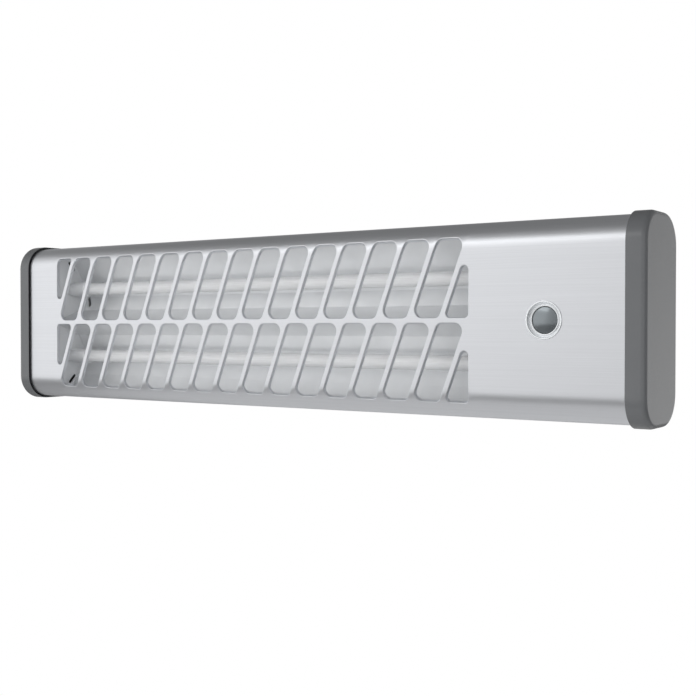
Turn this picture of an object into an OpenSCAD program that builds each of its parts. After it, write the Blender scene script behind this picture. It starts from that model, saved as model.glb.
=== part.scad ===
/* [Housing] */
// Length of aluminium seen between the two end caps
housing_l = 544; // [470:1:640]
// Height of the rolled housing
housing_h = 131; // [124:1:150]
// Depth of the rolled housing
housing_d = 56; // [54:0.5:70]
// Thickness of the aluminium sheet
sheet_t = 1; // [0.8:0.1:1.4]
// Outer radius of the two front bends
front_bend_r = 18.4; // [15:0.1:22]
// Outer radius of the two rear bends
rear_bend_r = 19; // [15:0.1:22]
// Flat width of each lip that the sheet turns in at the back
rear_lip = 9; // [8:0.5:14]

/* [End caps] */
// Length of each cap along the heater
cap_w = 13; // [12:0.5:20]
// Wall of the skirt that goes round the housing
cap_wall = 1.8; // [1.4:0.1:2.6]
// Thickness of the outer face
cap_floor = 2.5; // [2:0.1:3.5]
// Radius of the rounded outer edge
cap_edge_r = 3.5; // [2:0.1:4]
// Gap between the skirt and the housing
cap_fit = 0.2; // [0.1:0.05:0.3]
// Length of housing that goes into each cap
cap_grip = 8; // [6:0.5:9]
// Thickness of the two tongues that take the cap screws
tongue_t = 6; // [5:0.5:8]
// How far the tongues reach into the housing
tongue_reach = 14; // [12:0.5:20]

/* [Grille] */
// Plain face between the left cap and the first slot
grille_margin = 35.3; // [25:0.1:60]
// Plain face between the last slot and the right cap, where the button is
control_w = 107.5; // [100:0.5:140]
// Distance from slot to slot
slot_pitch = 25.38; // [22:0.01:32]
// Width of a bar, measured along the housing
bar_w = 4.28; // [3.5:0.01:7]
// Lean of the bars from upright, in degrees
slot_lean = 20.8; // [10:0.1:28]
// Height of a slot
slot_h = 53.2; // [44:0.1:56]
// Height of the rail between the two rows
rail_h = 3.6; // [3:0.1:8]
// Corner radius at the two sharp corners of a slot
sharp_corner_r = 5.6; // [3:0.1:7]
// Corner radius at the two blunt corners of a slot
blunt_corner_r = 4.6; // [3:0.1:7]
// Corner radius of the cut-off slots at both ends of a row
end_corner_r = 3; // [2:0.1:4]

/* [Reflector] */
// Thickness of the bright sheet
reflector_t = 0.6; // [0.4:0.1:1]
// Depth of the trough backs behind the front face
trough_depth = 46; // [43:0.5:50]
// Depth of the ridge between the troughs behind the front face
ridge_depth = 16; // [10:0.5:20]
// Half height at which the ridge meets the lower folds
ridge_foot = 11; // [8:0.5:14]
// Distance from the grille to the left end plate
left_end_gap = 17.3; // [10:0.1:20]
// Distance from the grille to the right end plate
right_end_gap = 15.5; // [8:0.1:17]
// Thickness of the end plates
end_plate_t = 0.8; // [0.6:0.1:1.2]
// Width of the flanges folded from the end plates
end_flange_w = 9; // [6:0.5:12]
// Gap all round between inner plates and the housing
inner_fit = 0.2; // [0.1:0.05:0.3]

/* [Heating elements] */
// Height of each tube axis above or below the middle
tube_z = 29.5; // [26:0.1:32]
// Depth of the tube axes behind the front face
tube_depth = 28; // [25:0.1:31]
// Outer radius of a quartz tube
tube_r = 5.25; // [4.8:0.05:6]
// Wall of a quartz tube
tube_wall = 1.1; // [0.8:0.1:1.3]
// Radius of the coil, to the middle of the wire
coil_r = 3.1; // [2.6:0.1:3.2]
// Radius of the coil's wire
wire_r = 0.45; // [0.3:0.05:0.5]
// Curls on each coil
coil_curls = 34; // [20:1:36]
// Length of a ceramic end, from the end plate to its rim
ceramic_l = 26; // [22:0.5:30]
// Depth of the socket that takes the quartz tube
socket_l = 14; // [10:0.5:16]
// Wall of the ceramic round the tube
ceramic_wall = 1; // [0.8:0.1:1.5]
// Radius of the neck that goes through the end plate
neck_r = 3.6; // [3.2:0.1:4.2]
// Radius of the metal pin that carries the current out
pin_r = 1.15; // [1:0.05:1.3]
// Slip between parts that slide or plug together
slip = 0.08; // [0.05:0.01:0.1]

/* [Push button] */
// Distance of the button from the right cap
button_inset = 53.6; // [46:0.1:60]
// Outer radius of the bezel
bezel_r = 12.4; // [12:0.1:14]
// Width of the bezel's rim that lies on the sheet
bezel_lip = 0.5; // [0.4:0.05:0.5]
// Height of the bezel's rim above the sheet
bezel_rim = 0.5; // [0.3:0.1:1]
// Depth of the dish inside the rim
dish_depth = 1.7; // [1.2:0.1:2.4]
// Radius of the button
button_r = 8.5; // [7.8:0.1:8.8]
// Gap round the button
button_gap = 0.3; // [0.2:0.05:0.4]
// Radius of the bright ring round the button
ring_r = 10; // [9.4:0.1:10.4]
// How far the button can be pushed
button_travel = 2.5; // [1.5:0.1:2.6]
// Rise of the button's dome
dome_h = 1.3; // [0.8:0.1:1.6]
// Length of the barrel behind the front face
barrel_l = 15; // [14:0.5:18]
// Radius of the stem under the button
stem_r = 3; // [2.5:0.1:3.4]
// Width and height of the switch body
switch_w = 24; // [20:0.5:26]
// Length of the switch body
switch_l = 19; // [16:0.5:20]

/* [Tilting wall bracket] */
// Gap between the wall and the back of the housing
stand_off = 50; // [46:0.5:60]
// Distance of the tilt axis from the wall
pivot_y = 32; // [30:0.5:34]
// Half distance between the outer faces of the two hinge lugs
lug_x = 109; // [90:1:130]
// Thickness of the wall plate and its ears
plate_t = 2; // [1.5:0.1:3]
// Height of the wall plate
plate_h = 64; // [58:1:70]
// Depth of the lips turned forward along the wall plate
plate_lip = 8; // [5:0.5:10]
// Radius of the round ends of ears and lugs
ear_r = 10; // [9:0.5:12]
// Thickness of the hinge lugs
lug_t = 2.5; // [2:0.1:3]
// Radius of the pivot bolts
bolt_r = 3; // [2.5:0.1:3.5]
// Thickness of the washers on the pivot bolts
washer_t = 1; // [0.8:0.1:1.6]
// Gap between parts that turn against each other
turn_gap = 0.15; // [0.1:0.05:0.3]
// Radius of the hand knobs
knob_r = 11; // [9:0.5:13]
// Length of the hand knobs
knob_l = 12; // [9:0.5:14]
// Radius of the four holes for wall screws
wall_hole_r = 2.75; // [2:0.05:3.5]
// Distance between wall screws along the plate
wall_holes_x = 160; // [100:1:170]
// Distance between wall screws up the plate
wall_holes_z = 38; // [30:1:40]

/* [Back cover and fasteners] */
// Thickness of the back cover
cover_t = 1; // [0.8:0.1:1.5]
// Overlap of the back cover on the housing's lips
cover_lap = 6.5; // [5.5:0.5:7.5]
// Radius of the screws' shanks
screw_r = 1.45; // [1.2:0.05:1.7]
// Radius of the screws' heads
screw_head_r = 2.9; // [2.4:0.1:3.2]
// Height of the screws' heads
screw_head_h = 1.9; // [1.5:0.1:2.4]
// Gap between a screw's shank and the hole that holds it
thread_fit = 0.05; // [0.02:0.01:0.08]
// Distance between cover screws along the housing
cover_screw_pitch = 118; // [90:1:160]
// Length of one vent slot in the back cover
vent_l = 26; // [16:1:34]
// Height of one vent slot in the back cover
vent_h = 3.2; // [2.4:0.1:4]

/* [Wiring] */
// Radius of the wires inside the heater
lead_r = 1.3; // [1:0.05:1.4]
// Radius of the cable hole through the gland
inlet_r = 4; // [3:0.1:4.4]
// Distance of the cable gland from the right cap
inlet_inset = 34; // [30:0.5:40]
// Height of the cable gland below the middle
inlet_drop = 20; // [14:0.5:24]

/* [Hidden] */
$fn = 48;

// The wall is the plane y = 0, and the heater's front looks along -y
front_y = -stand_off - housing_d;
back_y = -stand_off;
body_x = housing_l / 2;
housing_end = body_x + cap_grip;
cap_proud = cap_wall + cap_fit;
cap_h = housing_h + 2 * cap_proud;
inner_h = housing_h - 2 * sheet_t;
flat_back = housing_h / 2 - rear_bend_r;
lip_edge = flat_back - rear_lip;

// Grille
grille_left = -body_x + grille_margin;
grille_right = body_x - control_w;
grille_mid = (grille_left + grille_right) / 2;
grille_half = (grille_right - grille_left) / 2;
slot_w = slot_pitch - bar_w;
lean_shift = slot_h / 2 * tan(slot_lean);
slot_reach = ceil(grille_half / slot_pitch);
punch_depth = front_bend_r / 2;
smallest_slot = 12;
arc_steps = 5;

// Reflector
left_plate_x = grille_left - left_end_gap;
right_plate_x = grille_right + right_end_gap;
flange_z = inner_h / 2 - inner_fit - reflector_t;
flange_u = front_bend_r + 1.5;
flange_l = 7;
upper_fold_z = tube_z + 17;
trough_half = 6.5;
ridge_half = 1.5;
slit_l = 10;
slit_w = 2.6;
slit_drop = 11;

// Heating elements
tube_left = left_plate_x + ceramic_l - socket_l;
tube_right = right_plate_x - ceramic_l + socket_l;
tube_bore = tube_r - tube_wall;
holder_r = tube_r + slip + ceramic_wall;
cone_l = 8;
clip_t = 0.6;
neck_stub = 1.5;
pin_stub = 10;
pin_reach = end_plate_t + clip_t + pin_stub;
crimp_l = 6;
crimp_wall = 0.5;
coil_tail = 2 * wire_r;
coil_pitch = (tube_right - tube_left - 2 * coil_tail) / coil_curls;
coil_rings = 8;
coil_sides = 6;

// Push button
button_x = body_x - button_inset;
button_skirt = 4.5;
// The pushed button stops just above the guide
guide_depth = button_skirt + button_travel + 0.3;
guide_t = 2;
button_top_t = 1.6;
barrel_r = bezel_r - bezel_lip;
nut_t = 4;
nut_across = 2 * barrel_r + 3.4;
stem_tip = barrel_l - 2;
plunger_depth = stem_tip + button_travel + 0.5;
spring_r = 5;
spring_wire = 0.4;
spring_curls = 3;

// Back cover and fasteners
cover_back = back_y + cover_t;
cover_half = lip_edge + cover_lap;
cover_x = body_x - 0.3;
screw_z = lip_edge + cover_lap / 2;
cap_screw_x = body_x - 8;
screw_l = 9;
// Radius of the holes that the screws pass through freely
free_hole_r = screw_r + 0.25;
tongue_half = 4.5;
row_screws = floor((cap_screw_x - cover_screw_pitch / 4) / cover_screw_pitch);
vent_pitch = vent_l * 1.5;
vent_z = [22, 30];
vent_span = grille_half * 0.8;

// Tilting wall bracket
ear_in = lug_x + turn_gap + washer_t + turn_gap;
ear_out = ear_in + plate_t;
lug_in = lug_x - lug_t;
knob_in = ear_out + 2 * turn_gap + washer_t;
bolt_hole_r = bolt_r + slip;
bolt_head_r = 2 * bolt_r;
bolt_head_t = 3;
base_l = 24;
base_h = 34;
base_screw_z = 11;
bracket_screw_x = lug_in - base_l * 0.45;

// Wiring
inlet_x = body_x - inlet_inset;
inlet_z = -inlet_drop;
gland_r = inlet_r + 2.6;
gland_flange = 3;
block_x = body_x - 32;
block_z = cover_half - 22;
earth_x = body_x - 58;
earth_z = 14 - cover_half;
block_w = 20;
block_h = 26;
block_d = 15;
cutout_r = 8;
cutout_t = 5;
blade_l = 7;
blade_w = 4.8;
blade_t = 0.8;
blade_gap = 4;
block_screw_r = 2.6;
gland_in = 6;
ring_l = 5;
wire_pass = lead_r + 1.2;
return_depth = 51;
// Half distance between two wires that share a crimp
pair_gap = lead_r + 0.2;
// How far a wire runs straight on before it turns, and the room for one wire beside another
lead_turn = 5 * lead_r;
lead_lane = 3 * lead_r;
lead_bend_r = 3;
lead_sides = 8;

// Depth behind the front face, as a y value
function at(depth) = front_y + depth;

// A flat shape drawn with depth across and height up, drawn out along x
module along_x(x, l) {
    translate([x, 0, 0]) rotate([90, 0, 90]) linear_extrude(l) children();
}

// A flat shape drawn with x across and height up, drawn out along y
module along_y(y, l) {
    translate([0, y + l, 0]) rotate([90, 0, 0]) linear_extrude(l) children();
}

// A round rod along x that starts at a point
module rod_x(p, r, l) {
    translate(p) rotate([0, 90, 0]) cylinder(r = r, h = l);
}

// A round rod along y that starts at a point
module rod_y(p, r, l) {
    translate([p.x, p.y + l, p.z]) rotate([90, 0, 0]) cylinder(r = r, h = l);
}

// A profile of radius and depth, turned about an axis along y
module turned_y(p) {
    translate(p) rotate([-90, 0, 0]) rotate_extrude() children();
}

// A profile of radius and length, turned about an axis along x
module turned_x(p) {
    translate(p) rotate([0, 90, 0]) rotate_extrude() children();
}

// The rounded section of the body, in depth and height
module section(y0, y1, h, rf, rr) {
    translate([y0 + rf, -h / 2]) square([y1 - y0 - rf - rr, h]);
    translate([y0, -h / 2 + rf]) square([rf, h - 2 * rf]);
    translate([y1 - rr, -h / 2 + rr]) square([rr, h - 2 * rr]);
    for (side = [-1, 1]) {
        translate([y0 + rf, side * (h / 2 - rf)]) circle(rf);
        translate([y1 - rr, side * (h / 2 - rr)]) circle(rr);
    }
}

// The housing's section, moved in by a margin all round
module body_section(margin) {
    section(front_y + margin, back_y - margin, housing_h - 2 * margin,
        front_bend_r - margin, rear_bend_r - margin);
}

// Unit vector between two points
function toward(a, b) = (b - a) / norm(b - a);

// The arc that rounds corner p between its neighbours, from the side of a to the side of b
function corner_arc(a, p, b, r) =
    let (u = toward(p, a), v = toward(p, b), half = acos(u * v) / 2)
    let (centre = p + (u + v) / norm(u + v) * r / sin(half), start = p + u * r / tan(half) - centre)
    let (way = cross(u, v) > 0 ? -1 : 1, sweep = 180 - 2 * half)
    [for (i = [0 : arc_steps]) let (t = way * sweep * i / arc_steps)
        centre + [start.x * cos(t) - start.y * sin(t), start.x * sin(t) + start.y * cos(t)]];

// A convex outline whose corners are rounded, each by its own radius
module rounded_polygon(points, radii) {
    n = len(points);
    polygon([for (i = [0 : n - 1])
        each corner_arc(points[(i + n - 1) % n], points[i], points[(i + 1) % n], radii[i])]);
}

// A stadium-shaped slot with round ends, lying along x
module stadium(l, w) {
    square([l - w, w], center = true);
    for (side = [-1, 1]) translate([side * (l - w) / 2, 0]) circle(w / 2);
}

// The direction of a path at each point and a side direction that doesn't twist along it
function turned_normals(path) =
    let (n = len(path))
    let (dirs = [for (i = [0 : n - 1]) toward(path[max(i - 1, 0)], path[min(i + 1, n - 1)])])
    let (first = abs(dirs[0].z) < 0.9 ? [0, 0, 1] : [1, 0, 0])
    [for (i = 0, v = first - dirs[0] * (first * dirs[0]), u = v / norm(v); i < n;
        i = i + 1, v = i < n ? u - dirs[i] * (u * dirs[i]) : u, u = v / norm(v)) [dirs[i], u]];

// Sweeps a round tube with flat facets along a path, without twisting it
module swept_tube(path, r, sides) {
    n = len(path);
    frames = turned_normals(path);
    // The facets are cut so that the tube's middle radius is r
    spread = r / cos(90 / sides);
    points = [for (i = [0 : n - 1], k = [0 : sides - 1])
        let (u = frames[i][1], w = cross(frames[i][0], u), a = 360 * k / sides)
        path[i] + spread * (cos(a) * u + sin(a) * w)];
    walls = [for (i = [0 : n - 2], k = [0 : sides - 1])
        let (a = i * sides + k, b = i * sides + (k + 1) % sides)
        each [[a, a + sides, b], [b, a + sides, b + sides]]];
    caps = [for (k = [1 : sides - 2]) each [[0, k, k + 1],
        [(n - 1) * sides, (n - 1) * sides + k + 1, (n - 1) * sides + k]]];
    polyhedron(points, concat(walls, caps));
}

// A path with every inner corner cut by a short bend
function bent(points, r) = let (n = len(points)) [for (i = [0 : n - 1]) each
    (i == 0 || i == n - 1) ? [points[i]] :
    let (a = toward(points[i], points[i - 1]), b = toward(points[i], points[i + 1]))
    let (p = points[i] + a * r, q = points[i] + b * r, m = points[i])
    [for (t = [0, 0.34, 0.66, 1]) (1 - t) * (1 - t) * p + 2 * t * (1 - t) * m + t * t * q]];

// One slot of the grille, as a leaning four-sided outline about the middle of its row
function slot_points(x) = [
    [x - slot_w / 2 - lean_shift, -slot_h / 2], [x + slot_w / 2 - lean_shift, -slot_h / 2],
    [x + slot_w / 2 + lean_shift, slot_h / 2], [x - slot_w / 2 + lean_shift, slot_h / 2]];

// Where the line between two points crosses an upright line
function crossing(a, b, x) = a + (b - a) * (x - a.x) / (b.x - a.x);

// The part of an outline on one side of an upright line
function trimmed(points, x, side) = let (n = len(points)) [for (i = [0 : n - 1])
    let (a = points[i], b = points[(i + 1) % n])
    let (a_in = (x - a.x) * side >= 0, b_in = (x - b.x) * side >= 0)
    each concat(a_in ? [a] : [], a_in != b_in ? [crossing(a, b, x)] : [])];

// Height of an outline
function height(points) = len(points) < 3 ? 0 :
    max([for (p = points) p.y]) - min([for (p = points) p.y]);

// One row of slots, cut off upright at both ends of the grille
module grille_row() {
    for (i = [-slot_reach : slot_reach]) {
        whole = slot_points(grille_mid + i * slot_pitch);
        kept = trimmed(trimmed(whole, grille_right, 1), grille_left, -1);
        if (kept == whole)
            rounded_polygon(whole, [sharp_corner_r, blunt_corner_r, sharp_corner_r, blunt_corner_r]);
        else if (height(kept) > smallest_slot)
            rounded_polygon(kept, [for (p = kept) end_corner_r]);
    }
}

module housing() {
    color("#cfd1d4") difference() {
        along_x(-housing_end, 2 * housing_end) difference() {
            body_section(0);
            body_section(sheet_t);
            translate([back_y - 2 * sheet_t, -lip_edge]) square([3 * sheet_t, 2 * lip_edge]);
        }
        for (side = [-1, 1])
            translate([0, 0, side * (slot_h + rail_h) / 2])
                along_y(front_y - 1, punch_depth + 1) grille_row();
        rod_y([button_x, front_y - 1, 0], barrel_r + slip, sheet_t + 2);
        screw_places() rod_y([0, back_y - 2 * sheet_t, 0], screw_r + thread_fit, 3 * sheet_t);
    }
}

// Every screw that holds the back cover, at its place along and up the back
module screw_places() {
    row_places() children();
    corner_places() children();
}

// The places between the corners, at even steps along both lips
module row_places() {
    for (side = [-1, 1], i = [-row_screws : row_screws])
        if (abs(i * cover_screw_pitch) < cap_screw_x - 12)
            translate([i * cover_screw_pitch, 0, side * screw_z]) children();
}

// The places at the four corners, where the screws go into the caps
module corner_places() {
    for (side = [-1, 1], end = [-1, 1])
        translate([end * cap_screw_x, 0, side * screw_z]) children();
}

module back_cover() {
    color("#a9abae") difference() {
        along_y(back_y, cover_t) square([2 * cover_x, 2 * cover_half], center = true);
        screw_places() rod_y([0, back_y - 1, 0], free_hole_r, cover_t + 2);
        for (x = [-vent_span : vent_pitch : vent_span], z = vent_z, side = [-1, 1])
            translate([grille_mid + x, 0, side * z]) along_y(back_y - 1, cover_t + 2)
                stadium(vent_l, vent_h);
        rod_y([inlet_x, back_y - 1, inlet_z], gland_r + slip, cover_t + 2);
        rod_y([earth_x, back_y - 1, earth_z], screw_r + thread_fit, cover_t + 2);
        bracket_places() rod_y([0, back_y - 1, 0], screw_r + thread_fit, cover_t + 2);
    }
}

// A section whose outer corner is rounded, to be turned into a disc with a rounded rim
module edge_section(w, t, r) {
    square([w, t - r]);
    square([w - r, t]);
    translate([w - r, t - r]) circle(r);
}

// The cap's outer form at the right end, rounded all along its outer edge
module cap_slab() {
    rf = front_bend_r + cap_proud;
    rr = rear_bend_r + cap_proud;
    hull() for (up = [-1, 1]) {
        turned_x([body_x, front_y - cap_proud + rf, up * (cap_h / 2 - rf)])
            edge_section(rf, cap_w, cap_edge_r, $fn = 32);
        turned_x([body_x, back_y + cap_proud - rr, up * (cap_h / 2 - rr)])
            edge_section(rr, cap_w, cap_edge_r, $fn = 32);
    }
}

// The right cap: a skirt round the housing, a ledge for its end and two tongues behind its lips
module end_cap() {
    floor_x = body_x + cap_w - cap_floor;
    tongue_y = back_y - sheet_t - tongue_t;
    difference() {
        union() {
            difference() {
                cap_slab($fn = 32);
                along_x(body_x - 1, housing_end - body_x + 1) body_section(-cap_fit);
                along_x(housing_end - 1, floor_x - housing_end + 1) body_section(1.5 * sheet_t);
            }
            for (up = [-1, 1])
                translate([body_x - tongue_reach, tongue_y, up * screw_z - tongue_half])
                    cube([floor_x - body_x + tongue_reach + 0.5, tongue_t, 2 * tongue_half]);
        }
        for (up = [-1, 1])
            rod_y([cap_screw_x, tongue_y - 1, up * screw_z], screw_r + thread_fit, tongue_t + 2);
    }
}

module end_cap_right() {
    color("#77777a") end_cap();
}

module end_cap_left() {
    color("#77777a") mirror([1, 0, 0]) end_cap();
}

// The folds of the reflector from the top flange to the middle, as depth and height
upper_folds = [[flange_u, flange_z], [flange_u + flange_l, flange_z],
    [trough_depth - flange_l, upper_fold_z], [trough_depth, tube_z + trough_half],
    [trough_depth, tube_z - trough_half], [trough_depth - 6, ridge_foot], [ridge_depth, ridge_half]];
lower_folds = [for (i = [len(upper_folds) - 1 : -1 : 0]) [upper_folds[i].x, -upper_folds[i].y]];
folds = concat(upper_folds, lower_folds);

// A line of folds, moved sideways by the thickness of the sheet
function beside(path, t) = let (n = len(path))
    let (dirs = [for (i = [0 : n - 2]) toward(path[i], path[i + 1])])
    let (sides = [for (d = dirs) [-d.y, d.x]])
    [for (i = [0 : n - 1]) let (a = sides[max(i - 1, 0)], b = sides[min(i, n - 2)])
        path[i] + t * (a + b) / (1 + a * b)];

module reflector() {
    other_side = beside(folds, reflector_t);
    back = [for (i = [len(folds) - 1 : -1 : 0]) other_side[i]];
    color("#d8d9db") difference() {
        along_x(left_plate_x, right_plate_x - left_plate_x)
            translate([front_y, 0]) polygon(concat(folds, back));
        // A slot for a fixing tab near the left end of each trough
        for (up = [-1, 1])
            translate([left_plate_x + slit_l, 0, up * (tube_z - slit_drop)])
                along_y(at(ridge_depth), trough_depth) rotate(-up * 55) stadium(slit_l, slit_w);
    }
}

// An end plate of the reflector, with its flanges turned away from the tubes
module reflector_end(x, side) {
    edge_z = inner_h / 2 - inner_fit;
    flange_end = housing_d - rear_bend_r - 1;
    plate_from = side < 0 ? x - end_plate_t : x;
    flange_from = side < 0 ? x - end_flange_w : x;
    difference() {
        union() {
            along_x(plate_from, end_plate_t) body_section(sheet_t + inner_fit);
            for (up = [-1, 1])
                translate([flange_from, at(flange_u), up > 0 ? edge_z - end_plate_t : -edge_z])
                    cube([end_flange_w, flange_end - flange_u, end_plate_t]);
        }
        for (up = [-1, 1]) {
            rod_x([x - 2, at(tube_depth), up * tube_z], neck_r + slip, 4);
            along_x(x - 2, 4) translate([at(tube_depth + 4), up * (tube_z + 21)])
                rotate(-up * 47) stadium(slit_l, slit_w);
        }
        rod_x([x - 2, at(return_depth), 0], wire_pass, 4);
    }
}

module reflector_end_left() {
    color("#c9cacc") reflector_end(left_plate_x, -1);
}

module reflector_end_right() {
    color("#c9cacc") reflector_end(right_plate_x, 1);
}

module quartz_tube(up) {
    color("#e4e6ea", 0.8) difference() {
        rod_x([tube_left, at(tube_depth), up * tube_z], tube_r, tube_right - tube_left);
        rod_x([tube_left - 1, at(tube_depth), up * tube_z], tube_bore, tube_right - tube_left + 2);
    }
}

module quartz_tube_upper() quartz_tube(1);

module quartz_tube_lower() quartz_tube(-1);

// The path of a coil along z: a straight end, curls that open to the full radius, a straight end
function coil_path(r, pitch, curls, end, rings) = let (n = curls * rings) concat(
    [[0, 0, 0]],
    [for (i = [0 : n]) let (t = min(i, n - i) / rings, open = min(1, t / 0.75), a = 360 * i / rings)
        [r * open * open * (3 - 2 * open) * cos(a), r * open * open * (3 - 2 * open) * sin(a),
        end + pitch * i / rings]],
    [[0, 0, 2 * end + pitch * curls]]);

// The least clear gap between neighbouring curls of a coil
function least_gap(path, wire, rings) = min([for (i = [1 : len(path) - 1 - rings])
    min([for (k = [-1 : 1]) let (j = i + rings + k) j < len(path) ? norm(path[i] - path[j]) : 999])])
    - 2 * wire;

element_path = coil_path(coil_r, coil_pitch, coil_curls, coil_tail, coil_rings);

module heating_coil(up) {
    color("#8d8177") translate([tube_left, at(tube_depth), up * tube_z]) rotate([0, 90, 0])
        swept_tube(element_path, wire_r, coil_sides);
}

module heating_coil_upper() heating_coil(1);

module heating_coil_lower() heating_coil(-1);

// A ceramic end: a neck through the plate, a cone, and a socket for the quartz tube
module ceramic(side, up) {
    neck_l = end_plate_t + clip_t + neck_stub;
    outline = [[pin_r + slip, -neck_l], [neck_r, -neck_l], [neck_r, 0], [neck_r + 0.8, 0],
        [holder_r - 0.5, cone_l], [holder_r, cone_l + 1], [holder_r, ceramic_l],
        [tube_r + slip, ceramic_l], [tube_r + slip, ceramic_l - socket_l],
        [pin_r + slip, ceramic_l - socket_l]];
    color("#dfe0e0") translate([side < 0 ? left_plate_x : right_plate_x, at(tube_depth), up * tube_z])
        mirror([side > 0 ? 1 : 0, 0, 0]) turned_x([0, 0, 0]) polygon(outline);
}

module ceramic_upper_left() ceramic(-1, 1);

module ceramic_upper_right() ceramic(1, 1);

module ceramic_lower_left() ceramic(-1, -1);

module ceramic_lower_right() ceramic(1, -1);

// Places something at each of the four tube ends, looking outwards along +x
module tube_ends() {
    for (up = [-1, 1]) {
        translate([left_plate_x, at(tube_depth), up * tube_z]) mirror([1, 0, 0]) children();
        translate([right_plate_x, at(tube_depth), up * tube_z]) children();
    }
}

module ceramic_clips() {
    color("#b9bbbe") tube_ends() difference() {
        rod_x([end_plate_t, 0, 0], neck_r + 3, clip_t);
        rod_x([0, 0, 0], neck_r + slip, 4);
    }
}

module element_pins() {
    inside = ceramic_l - socket_l;
    color("#c0b9a8") tube_ends() rod_x([-inside, 0, 0], pin_r, inside + pin_reach);
}

module lead_crimps() {
    color("#c9cacc") for (up = [-1, 1], side = [-1, 1])
        translate([side < 0 ? left_plate_x - pin_reach : right_plate_x + pin_reach, 0, up * tube_z])
            difference() {
                along_x(-crimp_l / 2, crimp_l) translate([at(tube_depth), 0])
                    crimp_outline(side, up, crimp_wall);
                along_x(-crimp_l, 2 * crimp_l) translate([at(tube_depth), 0]) crimp_outline(side, up, 0);
            }
}

// The inside of a crimp sleeve, wider where it holds two wires
module crimp_outline(side, up, wall) {
    r = lead_r + slip + wall;
    spread = side < 0 && up < 0 ? pair_gap : 0;
    for (way = [-1, 1]) translate([way * spread, 0]) circle(r);
    square([2 * spread + 0.01, 2 * r], center = true);
}

module button_bezel() {
    color("#c4c7ca") turned_y([button_x, front_y, 0]) polygon([
        [bezel_r, 0], [bezel_r, 0.2 - bezel_rim], [bezel_r - 0.3, -bezel_rim],
        [bezel_r - 0.6, -bezel_rim], [ring_r, dish_depth], [button_r + button_gap, dish_depth],
        [button_r + button_gap, guide_depth], [stem_r + slip, guide_depth],
        [stem_r + slip, guide_depth + guide_t], [button_r, guide_depth + guide_t],
        [button_r, barrel_l], [barrel_r, barrel_l], [barrel_r, 0]]);
}

module bezel_nut() {
    color("#b9bbbe") difference() {
        turned_y([button_x, front_y + sheet_t, 0]) square([nut_across / 2 / cos(30), nut_t], $fn = 6);
        rod_y([button_x, front_y, 0], barrel_r + thread_fit, nut_t + 3);
    }
}

module button_cap() {
    rim_r = button_r - 0.4;
    dome = [for (i = [0 : 8]) let (t = i / 8) [rim_r * t, dish_depth - dome_h * (1 - t * t)]];
    color("#5f666c") turned_y([button_x, front_y, 0]) polygon(concat(dome, [
        [button_r, dish_depth + 0.4], [button_r, button_skirt], [button_r - 1.3, button_skirt],
        [button_r - 1.3, dish_depth + button_top_t], [0, dish_depth + button_top_t]]));
}

module button_stem() {
    color("#e8e8e4") rod_y([button_x, at(dish_depth + button_top_t), 0], stem_r,
        stem_tip - dish_depth - button_top_t);
}

module button_spring() {
    from = dish_depth + button_top_t + spring_wire;
    end = 2 * spring_wire;
    pitch = (guide_depth - spring_wire - from) / spring_curls;
    ring = [for (i = [0 : spring_curls * coil_rings]) let (a = 360 * i / coil_rings)
        [spring_r * cos(a), spring_r * sin(a), pitch * i / coil_rings]];
    path = concat([ring[0] - [0, end, 0]], ring, [ring[len(ring) - 1] + [0, end, 0]]);
    color("#b9bbbe") translate([button_x, at(from), 0]) rotate([-90, 0, 0])
        swept_tube(path, spring_wire, coil_sides);
}

module switch_body() {
    color("#2f3133") difference() {
        union() {
            rod_y([button_x, at(guide_depth + guide_t), 0], button_r - slip,
                barrel_l - guide_depth - guide_t + 1);
            translate([button_x - switch_w / 2, at(barrel_l), -switch_w / 2])
                cube([switch_w, switch_l, switch_w]);
        }
        rod_y([button_x, at(guide_depth), 0], stem_r + slip, plunger_depth - guide_depth);
    }
}

// The middles of the three blades at the back of the switch
blade_places = [[button_x - 6.4, 7], [button_x - 6.4, -7], [button_x + 6.6, 0]];

module switch_blades() {
    color("#c8a95a") for (p = blade_places)
        translate([p.x - blade_w / 2, at(barrel_l + switch_l), p.y - blade_t / 2])
            cube([blade_w, blade_l, blade_t]);
}

module thermal_cutout() {
    plate_x = right_plate_x + end_plate_t;
    color("#3b3d40") {
        turned_x([plate_x, at(tube_depth), 0]) polygon([[0, 0], [cutout_r + 2, 0], [cutout_r + 2, 1],
            [cutout_r, 1], [cutout_r, cutout_t - 0.8], [cutout_r - 0.8, cutout_t], [0, cutout_t]]);
        for (up = [-1, 1])
            translate([plate_x + cutout_t, at(tube_depth) - blade_w / 2, up * blade_gap - blade_t / 2])
                cube([blade_l, blade_w, blade_t]);
    }
}

module terminal_block() {
    cells = [-1, 0, 1];
    color("#e9e6da") difference() {
        translate([block_x - block_w / 2, back_y - block_d, block_z - block_h / 2])
            cube([block_w, block_d, block_h]);
        for (c = cells)
            rod_y([block_x, back_y - block_d - 1, block_z + c * block_h / 3], block_screw_r + slip,
                block_d / 2);
        // Grooves between the cells
        for (c = [-0.5, 0.5])
            translate([block_x - block_w, back_y - block_d - 1, block_z + c * block_h / 1.5 - 0.6])
                cube([2 * block_w, 4, 1.2]);
    }
}

module terminal_screws() {
    color("#c8a95a") for (c = [-1, 0, 1])
        rod_y([block_x, back_y - block_d + 1.5, block_z + c * block_h / 3], block_screw_r,
            block_d / 2 - 2.5);
}

// A wire through the points, with every inner corner bent round
module lead(points) swept_tube(bent(points, lead_bend_r), lead_r, lead_sides);

left_pin = left_plate_x - pin_reach;
right_pin = right_plate_x + pin_reach;
cutout_blade = right_plate_x + end_plate_t + cutout_t + blade_l;
blade_end = barrel_l + switch_l + blade_l;
turn_left = left_pin - lead_turn;

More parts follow.
